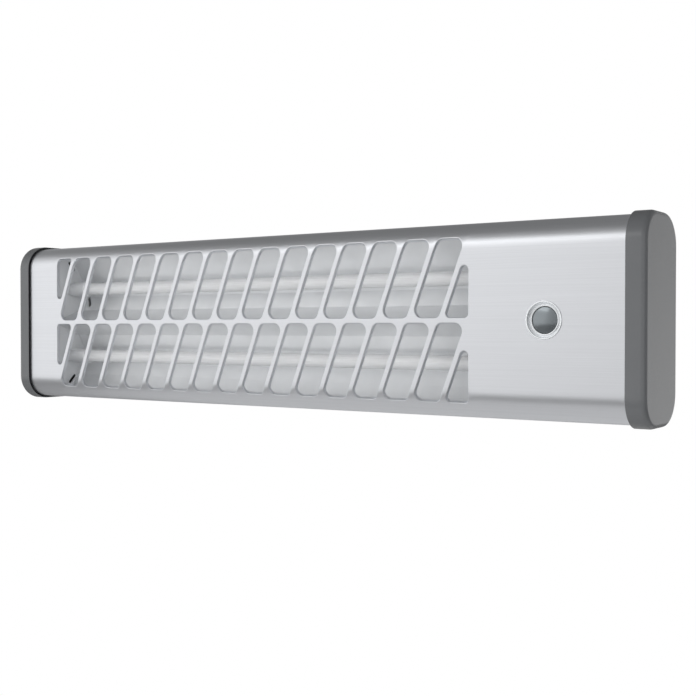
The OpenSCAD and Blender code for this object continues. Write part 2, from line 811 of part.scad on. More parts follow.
module lead_bridge() {
    y = at(tube_depth);
    color("#b8b4a8") lead([[left_pin, y, tube_z], [turn_left, y, tube_z],
        [turn_left, y - pair_gap, -tube_z], [left_pin, y - pair_gap, -tube_z]]);
}

module lead_return() {
    y = at(tube_depth) + pair_gap;
    back = at(return_depth);
    color("#b8b4a8") lead([[left_pin, y, -tube_z], [turn_left, y, -tube_z],
        [turn_left, back, -lead_turn], [left_pin, back, 0], [right_plate_x + lead_turn, back, 0],
        [button_x - 0.4 * switch_w, back, block_z - lead_turn],
        [block_x - block_w / 2 - lead_turn, back_y - block_d / 2, block_z - lead_lane],
        [block_x - block_w / 2, back_y - block_d / 2, block_z - lead_lane]]);
}

// A wire from a tube's right pin to one blade of the switch
module element_lead(up, blade) {
    turn_x = right_pin + 1.5 * lead_turn;
    color("#b8b4a8") lead([[right_pin, at(tube_depth), up * tube_z],
        [turn_x, at(tube_depth), up * tube_z],
        [turn_x, at(blade_end + lead_lane), up * (switch_w / 2 + lead_turn)],
        [blade.x, at(blade_end + lead_lane), blade.y], [blade.x, at(blade_end), blade.y]]);
}

module lead_upper() element_lead(1, blade_places[0]);

module lead_lower() element_lead(-1, blade_places[1]);

module lead_cutout() {
    b = blade_places[2];
    turn_x = cutout_blade + lead_turn;
    color("#9a3b34") lead([[cutout_blade, at(tube_depth), blade_gap],
        [turn_x, at(tube_depth), blade_gap], [turn_x, at(blade_end + lead_turn), b.y],
        [b.x, at(blade_end + lead_turn), b.y], [b.x, at(blade_end), b.y]]);
}

module lead_supply() {
    y = at(tube_depth);
    turn_x = cutout_blade + lead_lane;
    under = -switch_w / 2 - lead_lane;
    color("#7a4a2c") lead([[cutout_blade, y, -blade_gap], [turn_x, y, -blade_gap],
        [turn_x + lead_lane, y + 2 * lead_turn, under],
        [block_x - lead_turn, y + 2 * lead_turn, under],
        [block_x + lead_lane, back_y - block_d / 2, -lead_turn],
        [block_x + lead_lane, back_y - block_d / 2, block_z - block_h / 2]]);
}

module lead_earth() {
    y = back_y - 3;
    raised_y = y - lead_turn;
    start = earth_x + ring_l;
    color("#7f9a3c") lead([[start, y, earth_z], [start + lead_turn, y, earth_z],
        [start + lead_turn, raised_y, -lead_turn], [block_x - lead_lane, raised_y, 0],
        [block_x - lead_lane, raised_y, block_z - block_h / 2]]);
}

module cable_gland() {
    color("#4a4b4e") difference() {
        union() {
            rod_y([inlet_x, back_y - gland_in, inlet_z], gland_r, gland_in + cover_t + 1);
            turned_y([inlet_x, cover_back, inlet_z]) polygon([[0, 0], [gland_r + 3, 0],
                [gland_r + 3, gland_flange - 1], [gland_r + 1.5, gland_flange], [0, gland_flange]]);
        }
        rod_y([inlet_x, back_y - gland_in - 1, inlet_z], inlet_r, gland_in + cover_t + gland_flange + 2);
    }
}

module gland_nut() {
    color("#4a4b4e") difference() {
        rod_y([inlet_x, back_y - nut_t, inlet_z], gland_r + 3.4, nut_t, $fn = 6);
        rod_y([inlet_x, back_y - nut_t - 1, inlet_z], gland_r + thread_fit, nut_t + 2);
    }
}

// The earth screw: a head outside, and a nut and a ring for the wire inside
module earth_screw() {
    color("#c8a95a") {
        screw([earth_x, cover_back, earth_z]);
        difference() {
            union() {
                rod_y([earth_x, back_y - 2.4, earth_z], 2 * screw_r + 1, 2.4, $fn = 6);
                rod_y([earth_x, back_y - 3.6, earth_z], 2 * screw_r + 1, 1.2);
                translate([earth_x + screw_r + 1, back_y - 3.6, earth_z - 1])
                    cube([ring_l - screw_r - 1, 1.2, 2]);
            }
            rod_y([earth_x, back_y - 8, earth_z], screw_r, 9);
        }
    }
}

// A pan-head screw driven along -y, its head standing on the point given
module screw(p) {
    difference() {
        union() {
            turned_y(p) polygon([[0, 0], [screw_head_r, 0], [screw_head_r, screw_head_h * 0.5],
                [screw_head_r - 0.7, screw_head_h], [0, screw_head_h]]);
            rod_y([p.x, p.y - screw_l, p.z], screw_r, screw_l + 0.1);
        }
        for (turn = [0, 90])
            translate([p.x, p.y + screw_head_h, p.z]) rotate([0, turn, 0])
                cube([screw_head_r, 1.2, 0.7], center = true);
    }
}

module cover_screws() {
    color("#8e9093") row_places() screw([0, cover_back, 0]);
}

module cap_screws() {
    color("#8e9093") corner_places() screw([0, cover_back, 0]);
}

// The four screws of the two hinge brackets
module bracket_places() {
    for (side = [-1, 1], up = [-1, 1])
        translate([side * bracket_screw_x, 0, up * base_screw_z]) children();
}

module bracket_screws() {
    color("#8e9093") bracket_places() screw([0, cover_back + lug_t, 0]);
}

// The side of an ear or lug, from a straight foot to a round tip about the tilt axis
module ear_outline(foot_y, foot_half) {
    polygon([[foot_y, -foot_half], [foot_y, foot_half], [-pivot_y, ear_r], [-pivot_y, -ear_r]]);
    translate([-pivot_y, 0]) circle(ear_r);
}

module hinge_bracket() {
    difference() {
        union() {
            translate([lug_x - base_l, cover_back, -base_h / 2]) cube([base_l, lug_t, base_h]);
            along_x(lug_in, lug_t) ear_outline(cover_back + lug_t / 2, base_h / 2);
        }
        rod_x([lug_in - 1, -pivot_y, 0], bolt_hole_r, lug_t + 2);
        for (up = [-1, 1])
            rod_y([bracket_screw_x, cover_back - 1, up * base_screw_z], free_hole_r, lug_t + 2);
    }
}

module hinge_bracket_right() {
    color("#6c6e72") hinge_bracket();
}

module hinge_bracket_left() {
    color("#6c6e72") mirror([1, 0, 0]) hinge_bracket();
}

// The fixed bracket on the wall: a plate with turned lips and an ear at each end
module wall_plate() {
    lip_x = ear_in - ear_r;
    color("#6c6e72") difference() {
        union() {
            translate([-ear_out, -plate_t, -plate_h / 2]) cube([2 * ear_out, plate_t, plate_h]);
            for (up = [-1, 1])
                translate([-lip_x, -plate_lip, up > 0 ? plate_h / 2 - plate_t : -plate_h / 2])
                    cube([2 * lip_x, plate_lip, plate_t]);
            for (side = [-1, 1])
                along_x(side > 0 ? ear_in : -ear_out, plate_t) ear_outline(-plate_t / 2, plate_h / 2 - 6);
        }
        for (side = [-1, 1]) {
            rod_x([side * (ear_in + plate_t / 2) - plate_t, -pivot_y, 0], bolt_hole_r, 2 * plate_t);
            for (up = [-1, 1])
                rod_y([side * wall_holes_x / 2, -plate_t - 1, up * wall_holes_z / 2], wall_hole_r,
                    plate_t + 2);
        }
    }
}

module pivot_bolt() {
    turned_x([lug_in - bolt_head_t, -pivot_y, 0]) polygon([[0, 0], [bolt_head_r - 1, 0],
        [bolt_head_r, 1.2], [bolt_head_r, bolt_head_t], [bolt_r, bolt_head_t],
        [bolt_r, knob_in + knob_l * 0.7 - lug_in + bolt_head_t],
        [0, knob_in + knob_l * 0.7 - lug_in + bolt_head_t]]);
}

module pivot_bolt_right() {
    color("#a9abae") pivot_bolt();
}

module pivot_bolt_left() {
    color("#a9abae") mirror([1, 0, 0]) pivot_bolt();
}

module tilt_knob() {
    lobes = 6;
    difference() {
        along_x(knob_in, knob_l) translate([-pivot_y, 0]) {
            circle(knob_r * 0.8);
            for (i = [0 : lobes - 1]) rotate(360 / lobes * i) translate([knob_r * 0.72, 0])
                circle(knob_r * 0.28);
        }
        rod_x([knob_in - 1, -pivot_y, 0], bolt_r + thread_fit, knob_l * 0.75 + 1);
    }
}

module tilt_knob_right() {
    color("#3b3d40") tilt_knob();
}

module tilt_knob_left() {
    color("#3b3d40") mirror([1, 0, 0]) tilt_knob();
}

// A flat ring round both pivot bolts
module ring_pair(x, r) {
    for (side = [-1, 1]) mirror([side < 0 ? 1 : 0, 0, 0]) difference() {
        rod_x([x, -pivot_y, 0], r, washer_t);
        rod_x([x - 1, -pivot_y, 0], bolt_hole_r, washer_t + 2);
    }
}

module friction_washers() {
    color("#2f3133") ring_pair(lug_x + turn_gap, ear_r - 1);
}

module knob_washers() {
    color("#a9abae") ring_pair(ear_out + turn_gap, ear_r - 2);
}

echo(least_gap_of_heating_coils = least_gap(element_path, wire_r, coil_rings));

wall_plate();
housing();
back_cover();
end_cap_left();
end_cap_right();
reflector();
reflector_end_left();
reflector_end_right();
quartz_tube_upper();
quartz_tube_lower();
heating_coil_upper();
heating_coil_lower();
ceramic_upper_left();
ceramic_upper_right();
ceramic_lower_left();
ceramic_lower_right();
ceramic_clips();
element_pins();
lead_crimps();
button_bezel();
bezel_nut();
button_cap();
button_stem();
button_spring();
switch_body();
switch_blades();
thermal_cutout();
terminal_block();
terminal_screws();
lead_supply();
lead_cutout();
lead_upper();
lead_lower();
lead_bridge();
lead_return();
lead_earth();
cable_gland();
gland_nut();
earth_screw();
cover_screws();
cap_screws();
hinge_bracket_left();
hinge_bracket_right();
bracket_screws();
pivot_bolt_left();
pivot_bolt_right();
tilt_knob_left();
tilt_knob_right();
friction_washers();
knob_washers();
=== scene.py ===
"""The looks of a wall-mounted quartz heater, built around its packed construction model.

Sizes are in millimetres in the part's own frame, where the wall is the plane y = 0 and the front
looks along -y. The camera, the lamps and the floor are placed in metres.
"""

from __future__ import annotations

import logging
import math
from dataclasses import dataclass, field
from enum import Enum
from typing import Sequence

import bpy
import numpy as np
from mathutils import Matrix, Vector

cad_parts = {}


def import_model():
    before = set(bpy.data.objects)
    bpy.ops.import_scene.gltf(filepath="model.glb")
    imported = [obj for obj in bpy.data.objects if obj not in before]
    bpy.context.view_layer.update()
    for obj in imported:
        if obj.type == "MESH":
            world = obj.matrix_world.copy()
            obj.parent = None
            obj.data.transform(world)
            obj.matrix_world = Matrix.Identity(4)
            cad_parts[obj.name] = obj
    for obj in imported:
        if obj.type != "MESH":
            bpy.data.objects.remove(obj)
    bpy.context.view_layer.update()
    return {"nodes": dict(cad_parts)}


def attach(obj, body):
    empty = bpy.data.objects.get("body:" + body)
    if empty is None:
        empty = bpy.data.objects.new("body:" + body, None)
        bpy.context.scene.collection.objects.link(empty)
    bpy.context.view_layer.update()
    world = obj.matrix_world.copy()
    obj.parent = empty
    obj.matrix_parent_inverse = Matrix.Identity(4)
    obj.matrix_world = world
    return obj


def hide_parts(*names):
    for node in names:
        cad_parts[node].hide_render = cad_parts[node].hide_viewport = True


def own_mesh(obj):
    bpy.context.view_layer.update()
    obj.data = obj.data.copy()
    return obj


LOG = logging.getLogger("quartz_heater")
Triple = tuple[float, float, float]
Colour = Triple
Point = Triple

# A millimetre in metres, and a length too short to matter.
MM = 0.001
TINY = 1e-7
# Points in the same small box are welded: the boxes' width, and the share that sets them off.
WELD_WIDTH = 0.002
WELD_SHIFT = 0.2137
# Decimals at which two places along a line count as the same.
PLACE_DIGITS = 6
# A direction that no wire runs in.
OFF_AXIS = (0.31, 0.57, 0.76)
# Pieces in the arc of a rounded corner, and in a full turn of a turned piece.
ROUND_STEPS = 4
TURNED_SIDES = 96
# The display curve: a straight slope up to the knee, and a power of the offset level above it.
DISPLAY_KNEE = 0.04045
DISPLAY_SLOPE = 12.92
DISPLAY_OFFSET = 0.055
DISPLAY_POWER = 2.4


class Side(Enum):
    """One of two sides, whose value is its sign."""

    @property
    def label(self) -> str:
        """What the side is called in the names of nodes and pieces."""
        return self.name.lower()


class End(Side):
    """The two ends of the heater, by the sign of x."""

    LEFT = -1
    RIGHT = 1


class Row(Side):
    """The two rows of slots and the two tubes, by the sign of z."""

    LOWER = -1
    UPPER = 1


def mm(value: float) -> float:
    """Gives a length in metres from one in millimetres."""
    return value * MM


def linear(shade: Sequence[float]) -> Colour:
    """Turns display colour levels into the linear levels that shaders use.

    Args:
        shade: Red, green and blue as they look on a display, from 0 to 1.

    Returns:
        The same colour in linear light.
    """
    c = np.asarray(shade, float)
    low = c / DISPLAY_SLOPE
    high = ((c + DISPLAY_OFFSET) / (1 + DISPLAY_OFFSET)) ** DISPLAY_POWER
    return tuple(float(v) for v in np.where(c <= DISPLAY_KNEE, low, high))


def directions(angle: np.ndarray) -> np.ndarray:
    """Gives the unit direction at each angle, in two dimensions."""
    return np.stack([np.cos(angle), np.sin(angle)], axis=-1)


def place_object(name: str, data: bpy.types.ID) -> bpy.types.Object:
    """Makes an object with its data and links it to the scene.

    Args:
        name: The object's name.
        data: Its mesh, lamp or camera data.

    Returns:
        The object.
    """
    made = bpy.data.objects.new(name, data)
    bpy.context.scene.collection.objects.link(made)
    return made


class Surface:
    """A mesh gathered from grids of points, welded into one closed skin."""

    def __init__(self) -> None:
        """Starts with no points and no faces."""
        self.points: list[np.ndarray] = []
        self.quads: list[np.ndarray] = []
        self.count = 0

    def add_grid(self, grid: np.ndarray, round_rows: bool = False,
                 round_cols: bool = False, flip: bool = False) -> None:
        """Adds the quads between neighbouring rows and columns of a grid of points.

        Args:
            grid: Points as rows by columns by 3.
            round_rows: Joins the last row back to the first.
            round_cols: Joins the last column back to the first.
            flip: Turns the faces over.
        """
        rows, cols = grid.shape[:2]
        index = np.arange(rows * cols).reshape(rows, cols) + self.count
        if round_rows:
            index = np.vstack([index, index[:1]])
        if round_cols:
            index = np.hstack([index, index[:, :1]])
        quads = np.stack([index[:-1, :-1], index[:-1, 1:], index[1:, 1:], index[1:, :-1]], axis=-1)
        self.gather(grid.reshape(-1, 3), quads.reshape(-1, 4), flip)

    def add_faces(self, corners: np.ndarray, flip: bool = False) -> None:
        """Adds loose faces, given as faces by 4 corners by 3, turned over or not."""
        quads = np.arange(len(corners) * 4).reshape(-1, 4) + self.count
        self.gather(corners.reshape(-1, 3), quads, flip)

    def gather(self, points: np.ndarray, quads: np.ndarray, flip: bool) -> None:
        """Keeps points and their quads, turned over or not.

        Args:
            points: Points, n by 3.
            quads: Numbers of their corners, m by 4.
            flip: Turns the faces over.
        """
        self.points.append(points)
        self.quads.append(quads[:, ::-1] if flip else quads)
        self.count += len(points)

    def build(self, name: str) -> bpy.types.Object:
        """Welds points that coincide and makes the object.

        Points in the same small box become one: the boxes are WELD_WIDTH millimetres wide and set
        off by an odd share of it, so no round number lies on their walls. A quad that loses one
        corner in this way becomes a triangle, and one that loses more is dropped.

        Args:
            name: The new object's name.

        Returns:
            A smooth-shaded object at the origin.
        """
        points = np.vstack(self.points)
        quads = np.vstack(self.quads)
        keys = np.floor(points / WELD_WIDTH + WELD_SHIFT).astype(np.int64)
        _, first, inverse = np.unique(keys, axis=0, return_index=True, return_inverse=True)
        quads = inverse.reshape(-1)[quads]
        same = quads == np.roll(quads, -1, axis=1)
        whole = quads[same.sum(axis=1) == 0]
        single = same.sum(axis=1) == 1
        corner = np.argmax(same[single], axis=1)
        left = (corner[:, None] + np.arange(1, 4)) % 4
        triangles = np.take_along_axis(quads[single], left, axis=1)
        return make_mesh(name, points[first] * MM, whole, triangles)


def make_mesh(name: str, points: np.ndarray, quads: np.ndarray,
              triangles: np.ndarray) -> bpy.types.Object:
    """Makes a smooth-shaded mesh object from arrays of points and faces.

    Args:
        name: The object's name.
        points: Points, n by 3.
        quads: Corner numbers, n by 4.
        triangles: Corner numbers, n by 3.

    Returns:
        The object, linked to the scene.
    """
    mesh = bpy.data.meshes.new(name)
    mesh.vertices.add(len(points))
    mesh.vertices.foreach_set("co", points.astype(np.float32).ravel())
    corners = np.concatenate([quads.ravel(), triangles.ravel()]).astype(np.int32)
    mesh.loops.add(len(corners))
    mesh.loops.foreach_set("vertex_index", corners)
    totals = np.concatenate([np.full(len(quads), 4), np.full(len(triangles), 3)])
    starts = np.concatenate([[0], np.cumsum(totals)[:-1]]).astype(np.int32)
    mesh.polygons.add(len(totals))
    mesh.polygons.foreach_set("loop_start", starts)
    mesh.polygons.foreach_set("use_smooth", np.ones(len(totals), bool))
    mesh.update(calc_edges=True)
    mesh.validate()
    return place_object(name, mesh)


def made_of_grid(name: str, grid: np.ndarray, round_rows: bool = False,
                 round_cols: bool = False, flip: bool = False) -> bpy.types.Object:
    """Makes an object of one grid of points, joined as Surface.add_grid says.

    Args:
        name: The object's name.
        grid: Points as rows by columns by 3.
        round_rows: Joins the last row back to the first.
        round_cols: Joins the last column back to the first.
        flip: Turns the faces over.

    Returns:
        The object.
    """
    skin = Surface()
    skin.add_grid(grid, round_rows, round_cols, flip)
    return skin.build(name)


def turned(name: str, profile: np.ndarray, centre: Point, along: str,
           sides: int = TURNED_SIDES, loop: bool = True) -> bpy.types.Object:
    """Turns a profile about an axis. It faces outwards where it runs up the axis.

    Each profile point is a radius and a distance along the axis. The grid's point for angle a is
    the centre plus the distance along the axis plus the radius times (cos a, sin a) in the other
    two axes.

    Args:
        name: The object's name.
        profile: Radius and distance pairs, n by 2.
        centre: A point on the axis, where distance is zero.
        along: "x" or "y".
        sides: Steps round the axis.
        loop: Joins the profile's end to its start.

    Returns:
        The object.
    """
    angle = np.linspace(0.0, 2 * math.pi, sides, endpoint=False)[:, None]
    radius, distance = profile[None, :, 0], profile[None, :, 1]
    across = radius * np.cos(angle)
    up = radius * np.sin(angle)
    length = np.broadcast_to(distance, across.shape)
    order = (length, across, up) if along == "x" else (-across, length, up)
    grid = np.stack(order, axis=-1) + np.asarray(centre, float)
    return made_of_grid(name, grid, round_rows=True, round_cols=loop, flip=True)


def rounded(points: Sequence[Sequence[float]], radii: Sequence[float]) -> np.ndarray:
    """Rounds the corners of a loop of points with arcs.

    At a corner with unit directions u and v to its neighbours and half angle h between them, the
    arc starts r / tan h along u, and its centre lies r / sin h along the bisector.

    Args:
        points: Points of the loop, in two dimensions.
        radii: A radius for each point; zero keeps the point sharp.

    Returns:
        The points of the rounded loop.
    """
    line = np.asarray(points, float)
    out: list[np.ndarray] = []
    for i, radius in enumerate(radii):
        if radius <= 0:
            out.append(line[i][None])
            continue
        u = line[i - 1] - line[i]
        v = line[(i + 1) % len(line)] - line[i]
        u, v = u / np.linalg.norm(u), v / np.linalg.norm(v)
        half = math.acos(float(np.clip(u @ v, -1, 1))) / 2
        centre = line[i] + (u + v) / np.linalg.norm(u + v) * radius / math.sin(half)
        start = line[i] + u * radius / math.tan(half) - centre
        way = -1.0 if u[0] * v[1] - u[1] * v[0] > 0 else 1.0
        turn = way * np.linspace(0.0, math.pi - 2 * half, ROUND_STEPS + 1)[:, None]
        out.append(centre + np.hstack([start[0] * np.cos(turn) - start[1] * np.sin(turn),
                                       start[0] * np.sin(turn) + start[1] * np.cos(turn)]))
    return np.vstack(out)


def zipper(upper: np.ndarray, lower: np.ndarray) -> np.ndarray:
    """Joins two lines of points that run the same way at different steps.

    Each piece of one line is joined to the point of the other that is level with its middle, so
    the faces fill the strip between the lines exactly.

    Args:
        upper: Points of the first line, sorted along x, n by 3.
        lower: Points of the second line, sorted along x, m by 3.

    Returns:
        Triangles as quads with a doubled corner, k by 4 by 3.
    """
    mid_u = (upper[1:, 0] + upper[:-1, 0]) / 2
    mid_l = (lower[1:, 0] + lower[:-1, 0]) / 2 + TINY
    third_u = lower[np.searchsorted(mid_l, mid_u)]
    third_l = upper[np.searchsorted(mid_u, mid_l)]
    first = np.stack([upper[:-1], third_u, upper[1:], upper[1:]], axis=1)
    second = np.stack([lower[:-1], lower[1:], third_l, third_l], axis=1)
    return np.concatenate([first, second])


def merged(*lines: np.ndarray) -> np.ndarray:
    """Joins lines of places into one sorted line without repeats."""
    return np.unique(np.round(np.concatenate(lines), PLACE_DIGITS))


def corner_arcs(points: np.ndarray,
                radii: Sequence[float]) -> list[tuple[np.ndarray, float, float, float]]:
    """Finds the arc that rounds each corner of a convex outline.

    The outline runs counterclockwise. A side's outward normal has the side's angle less a quarter
    turn, and the arc at a corner runs from one side's normal to the next one's.

    Args:
        points: Corners, n by 2.
        radii: Radius for each corner.

    Returns:
        Centre, radius, first angle and last angle for each corner.
    """
    arcs = []
    for k, radius in enumerate(radii):
        before = points[k] - points[k - 1]
        after = points[(k + 1) % len(points)] - points[k]
        first = math.atan2(before[1], before[0]) - math.pi / 2
        sweep = math.atan2(before[0] * after[1] - before[1] * after[0], float(before @ after))
        half = sweep / 2
        middle = np.array([math.cos(first + half), math.sin(first + half)])
        arcs.append((points[k] - middle * radius / math.cos(half), radius, first, first + sweep))
    return arcs


def outline_ring(points: np.ndarray, radii: Sequence[float],
                 counts: Sequence[tuple[int, int, int]]) -> tuple[np.ndarray, np.ndarray]:
    """Samples a rounded convex outline side by side.

    Side k runs from the middle of corner k's arc to the middle of the next one's. It has the given
    numbers of steps on its first half arc, its straight part and its last half arc.

    Args:
        points: Corners, counterclockwise, n by 2.
        radii: Radius for each corner.
        counts: Steps on the half arc, straight part and half arc of each side.

    Returns:
        Points and outward normals, both m by 2, without the closing point.
    """
    arcs = corner_arcs(points, radii)
    places, normals = [], []
    for k, (start, straight, end) in enumerate(counts):
        centre, radius, first, last = arcs[k]
        middle = (first + last) / 2
        angle = middle + (last - middle) * np.arange(start) / start
        normals.append(directions(angle))
        places.append(centre + radius * normals[-1])
        centre_b, radius_b, first_b, last_b = arcs[(k + 1) % len(arcs)]
        side = np.array([math.cos(last), math.sin(last)])
        step = (np.arange(straight) / straight)[:, None]
        a, b = centre + radius * side, centre_b + radius_b * side
        places.append(a + (b - a) * step)
        normals.append(np.broadcast_to(side, (straight, 2)))
        angle = last + (last_b - first_b) / 2 * np.arange(end) / end
        normals.append(directions(angle))
        places.append(centre_b + radius_b * normals[-1])
    return np.vstack(places), np.vstack(normals)


def border(corners: np.ndarray, fractions: Sequence[np.ndarray]) -> np.ndarray:
    """Samples a straight-sided outline.

    Args:
        corners: Corners, counterclockwise, n by 2.
        fractions: For each side, the shares of its length at which points stand, from 0 to 1.

    Returns:
        Points, without the last one of each side, m by 2.
    """
    sides = [corners[k] + (corners[(k + 1) % len(corners)] - corners[k]) * f[:-1, None]
             for k, f in enumerate(fractions)]
    return np.vstack(sides)


@dataclass
class SlotPattern:
    """The leaning slots of one row, measured from the middle of the row."""

    pitch: float = 25.38
    bar: float = 4.28
    lean: float = math.radians(20.8)
    height: float = 53.2
    cell_half: float = 28.0
    half_window: float = 200.6
    half_border: float = 204.0
    sharp: float = 5.6
    blunt: float = 4.6
    end_radius: float = 3.0
    gusset_height: float = 11.0
    arc_steps: int = 4
    short_steps: int = 4
    long_steps: int = 16

    @property
    def last(self) -> int:
        """Number of whole slots on each side of the middle one."""
        reach = (self.pitch - self.bar + self.height * math.tan(self.lean)) / 2
        return int((self.half_window - reach) // self.pitch)

    def whole(self) -> tuple[np.ndarray, np.ndarray]:
        """Outline of a whole slot about its own middle, as points and normals.

        Returns:
            Both m by 2.
        """
        half = (self.pitch - self.bar) / 2
        a, short, long = self.arc_steps, self.short_steps, self.long_steps
        return outline_ring(self.leaning(half, self.height / 2), [self.sharp, self.blunt] * 2,
                            [(a, short, a), (a, long, a)] * 2)

    def leaning(self, half: float, up: float) -> np.ndarray:
        """Corners of a leaning cell, counterclockwise, from its half width and half height.

        Args:
            half: Half the width.
            up: Half the height.

        Returns:
            The four corners.
        """
        shift = up * math.tan(self.lean)
        return np.array([[-half - shift, -up], [half - shift, -up],
                         [half + shift, up], [-half + shift, up]])

    def side_fractions(self) -> np.ndarray:
        """Shares of a cell's long side at which points stand, the same from both ends.

        The points beside the slot's rounded corners are spaced evenly up to the cell's end, so that
        the bend of the sheet, which starts there, keeps its smooth curve.

        Returns:
            Shares from 0 to 1.
        """
        places, _ = self.whole()
        first = 2 * self.arc_steps + self.short_steps
        count = 2 * self.arc_steps + self.long_steps
        share = (places[first:first + count + 1, 1] / self.cell_half + 1) / 2
        share = (share + 1 - share[::-1]) / 2
        near = self.arc_steps + 1
        share[:near + 1] = np.linspace(0.0, share[near], near + 1)
        share[-near - 1:] = 1 - share[near::-1]
        return share

    def short_fractions(self) -> np.ndarray:
        """Shares of a cell's short side at which points stand."""
        return np.linspace(0.0, 1.0, 2 * self.arc_steps + self.short_steps + 1)

    def cell(self) -> np.ndarray:
        """Border of a whole slot's cell, which its neighbours share."""
        sides = [self.short_fractions(), self.side_fractions()] * 2
        return border(self.leaning(self.pitch / 2, self.cell_half), sides)

    def border_line(self, heights: np.ndarray | float) -> np.ndarray | float:
        """Places along x of the border between the last whole slot and the end slot."""
        return (self.last + 0.5) * self.pitch + heights * math.tan(self.lean)

    def side_heights(self) -> np.ndarray:
        """Heights at which points stand on a cell's long side, from the row's middle."""
        return self.cell_half * (2 * self.side_fractions() - 1)

    def end_slot(self) -> tuple[np.ndarray, np.ndarray, np.ndarray]:
        """Outline, normals and border of the three-cornered slot at the right end of a row.

        Its cell stops at the first height where a shared point clears the slot's tip.

        Returns:
            All three m by 2.
        """
        half, slope = (self.pitch - self.bar) / 2, math.tan(self.lean)
        low = -self.height / 2
        left = (self.last + 1) * self.pitch - half + low * slope
        tip = low + (self.half_window - left) / slope
        corners = np.array([[left, low], [self.half_window, low], [self.half_window, tip]])
        a, short = self.arc_steps, self.short_steps
        heights = self.side_heights()[:self.gusset_start() + 1]
        steps = len(heights) - 1
        places, normals = outline_ring(corners, [self.end_radius] * 3, [
            (a, short, a), (a, steps - 2 * a, a), (2 * a + short, steps - a, a)])
        foot, top = heights[0], heights[-1]
        outer = np.array([[self.border_line(foot), foot], [self.half_border, foot],
                          [self.half_border, top], [self.border_line(top), top]])
        share = (heights - foot) / (top - foot)
        sides = [self.short_fractions(), share, self.short_fractions(), 1 - share[::-1]]
        return places, normals, border(outer, sides)

    def gusset_start(self) -> int:
        """Number of the side point at which the plain sheet above the end slot starts."""
        return int(np.searchsorted(self.side_heights(), self.gusset_height))

    def gusset(self) -> np.ndarray:
        """Grid of places on the plain sheet above the end slot, up to the cell's far border.

        Returns:
            Places as rows by columns by 2.
        """
        heights = self.side_heights()[self.gusset_start():]
        left = self.border_line(heights)[:, None]
        x = left + (self.half_border - left) * self.short_fractions()[None]
        return np.stack([x, np.broadcast_to(heights[:, None], x.shape)], axis=-1)

    def rings(self) -> list[tuple[np.ndarray, np.ndarray, np.ndarray]]:
        """Gives outline, normals and border of every slot in the row, from left to right.

        Returns:
            The three for each slot, each m by 2.
        """
        places, normals = self.whole()
        cell = self.cell()
        end = self.end_slot()
        found = [(-end[0], -end[1], -end[2])]
        for i in range(-self.last, self.last + 1):
            shift = np.array([i * self.pitch, 0.0])
            found.append((places + shift, normals, cell + shift))
        found.append(end)
        return found

    def edge_line(self, row: Row) -> np.ndarray:
        """Places along x of the points on the rows' far border from the middle of the face.

        The near border of either row has the same places turned about the row's middle.

        Args:
            row: The row.

        Returns:
            Sorted places from the middle of the grille.
        """
        rings = self.rings()
        far = row.value * self.cell_half
        lines = [outer[np.abs(outer[:, 1] - far) < TINY, 0] for _, _, outer in rings]
        ends = np.array([-self.half_border, self.half_border])
        return merged(*lines, row.value * self.gusset()[-1, :, 0], ends)


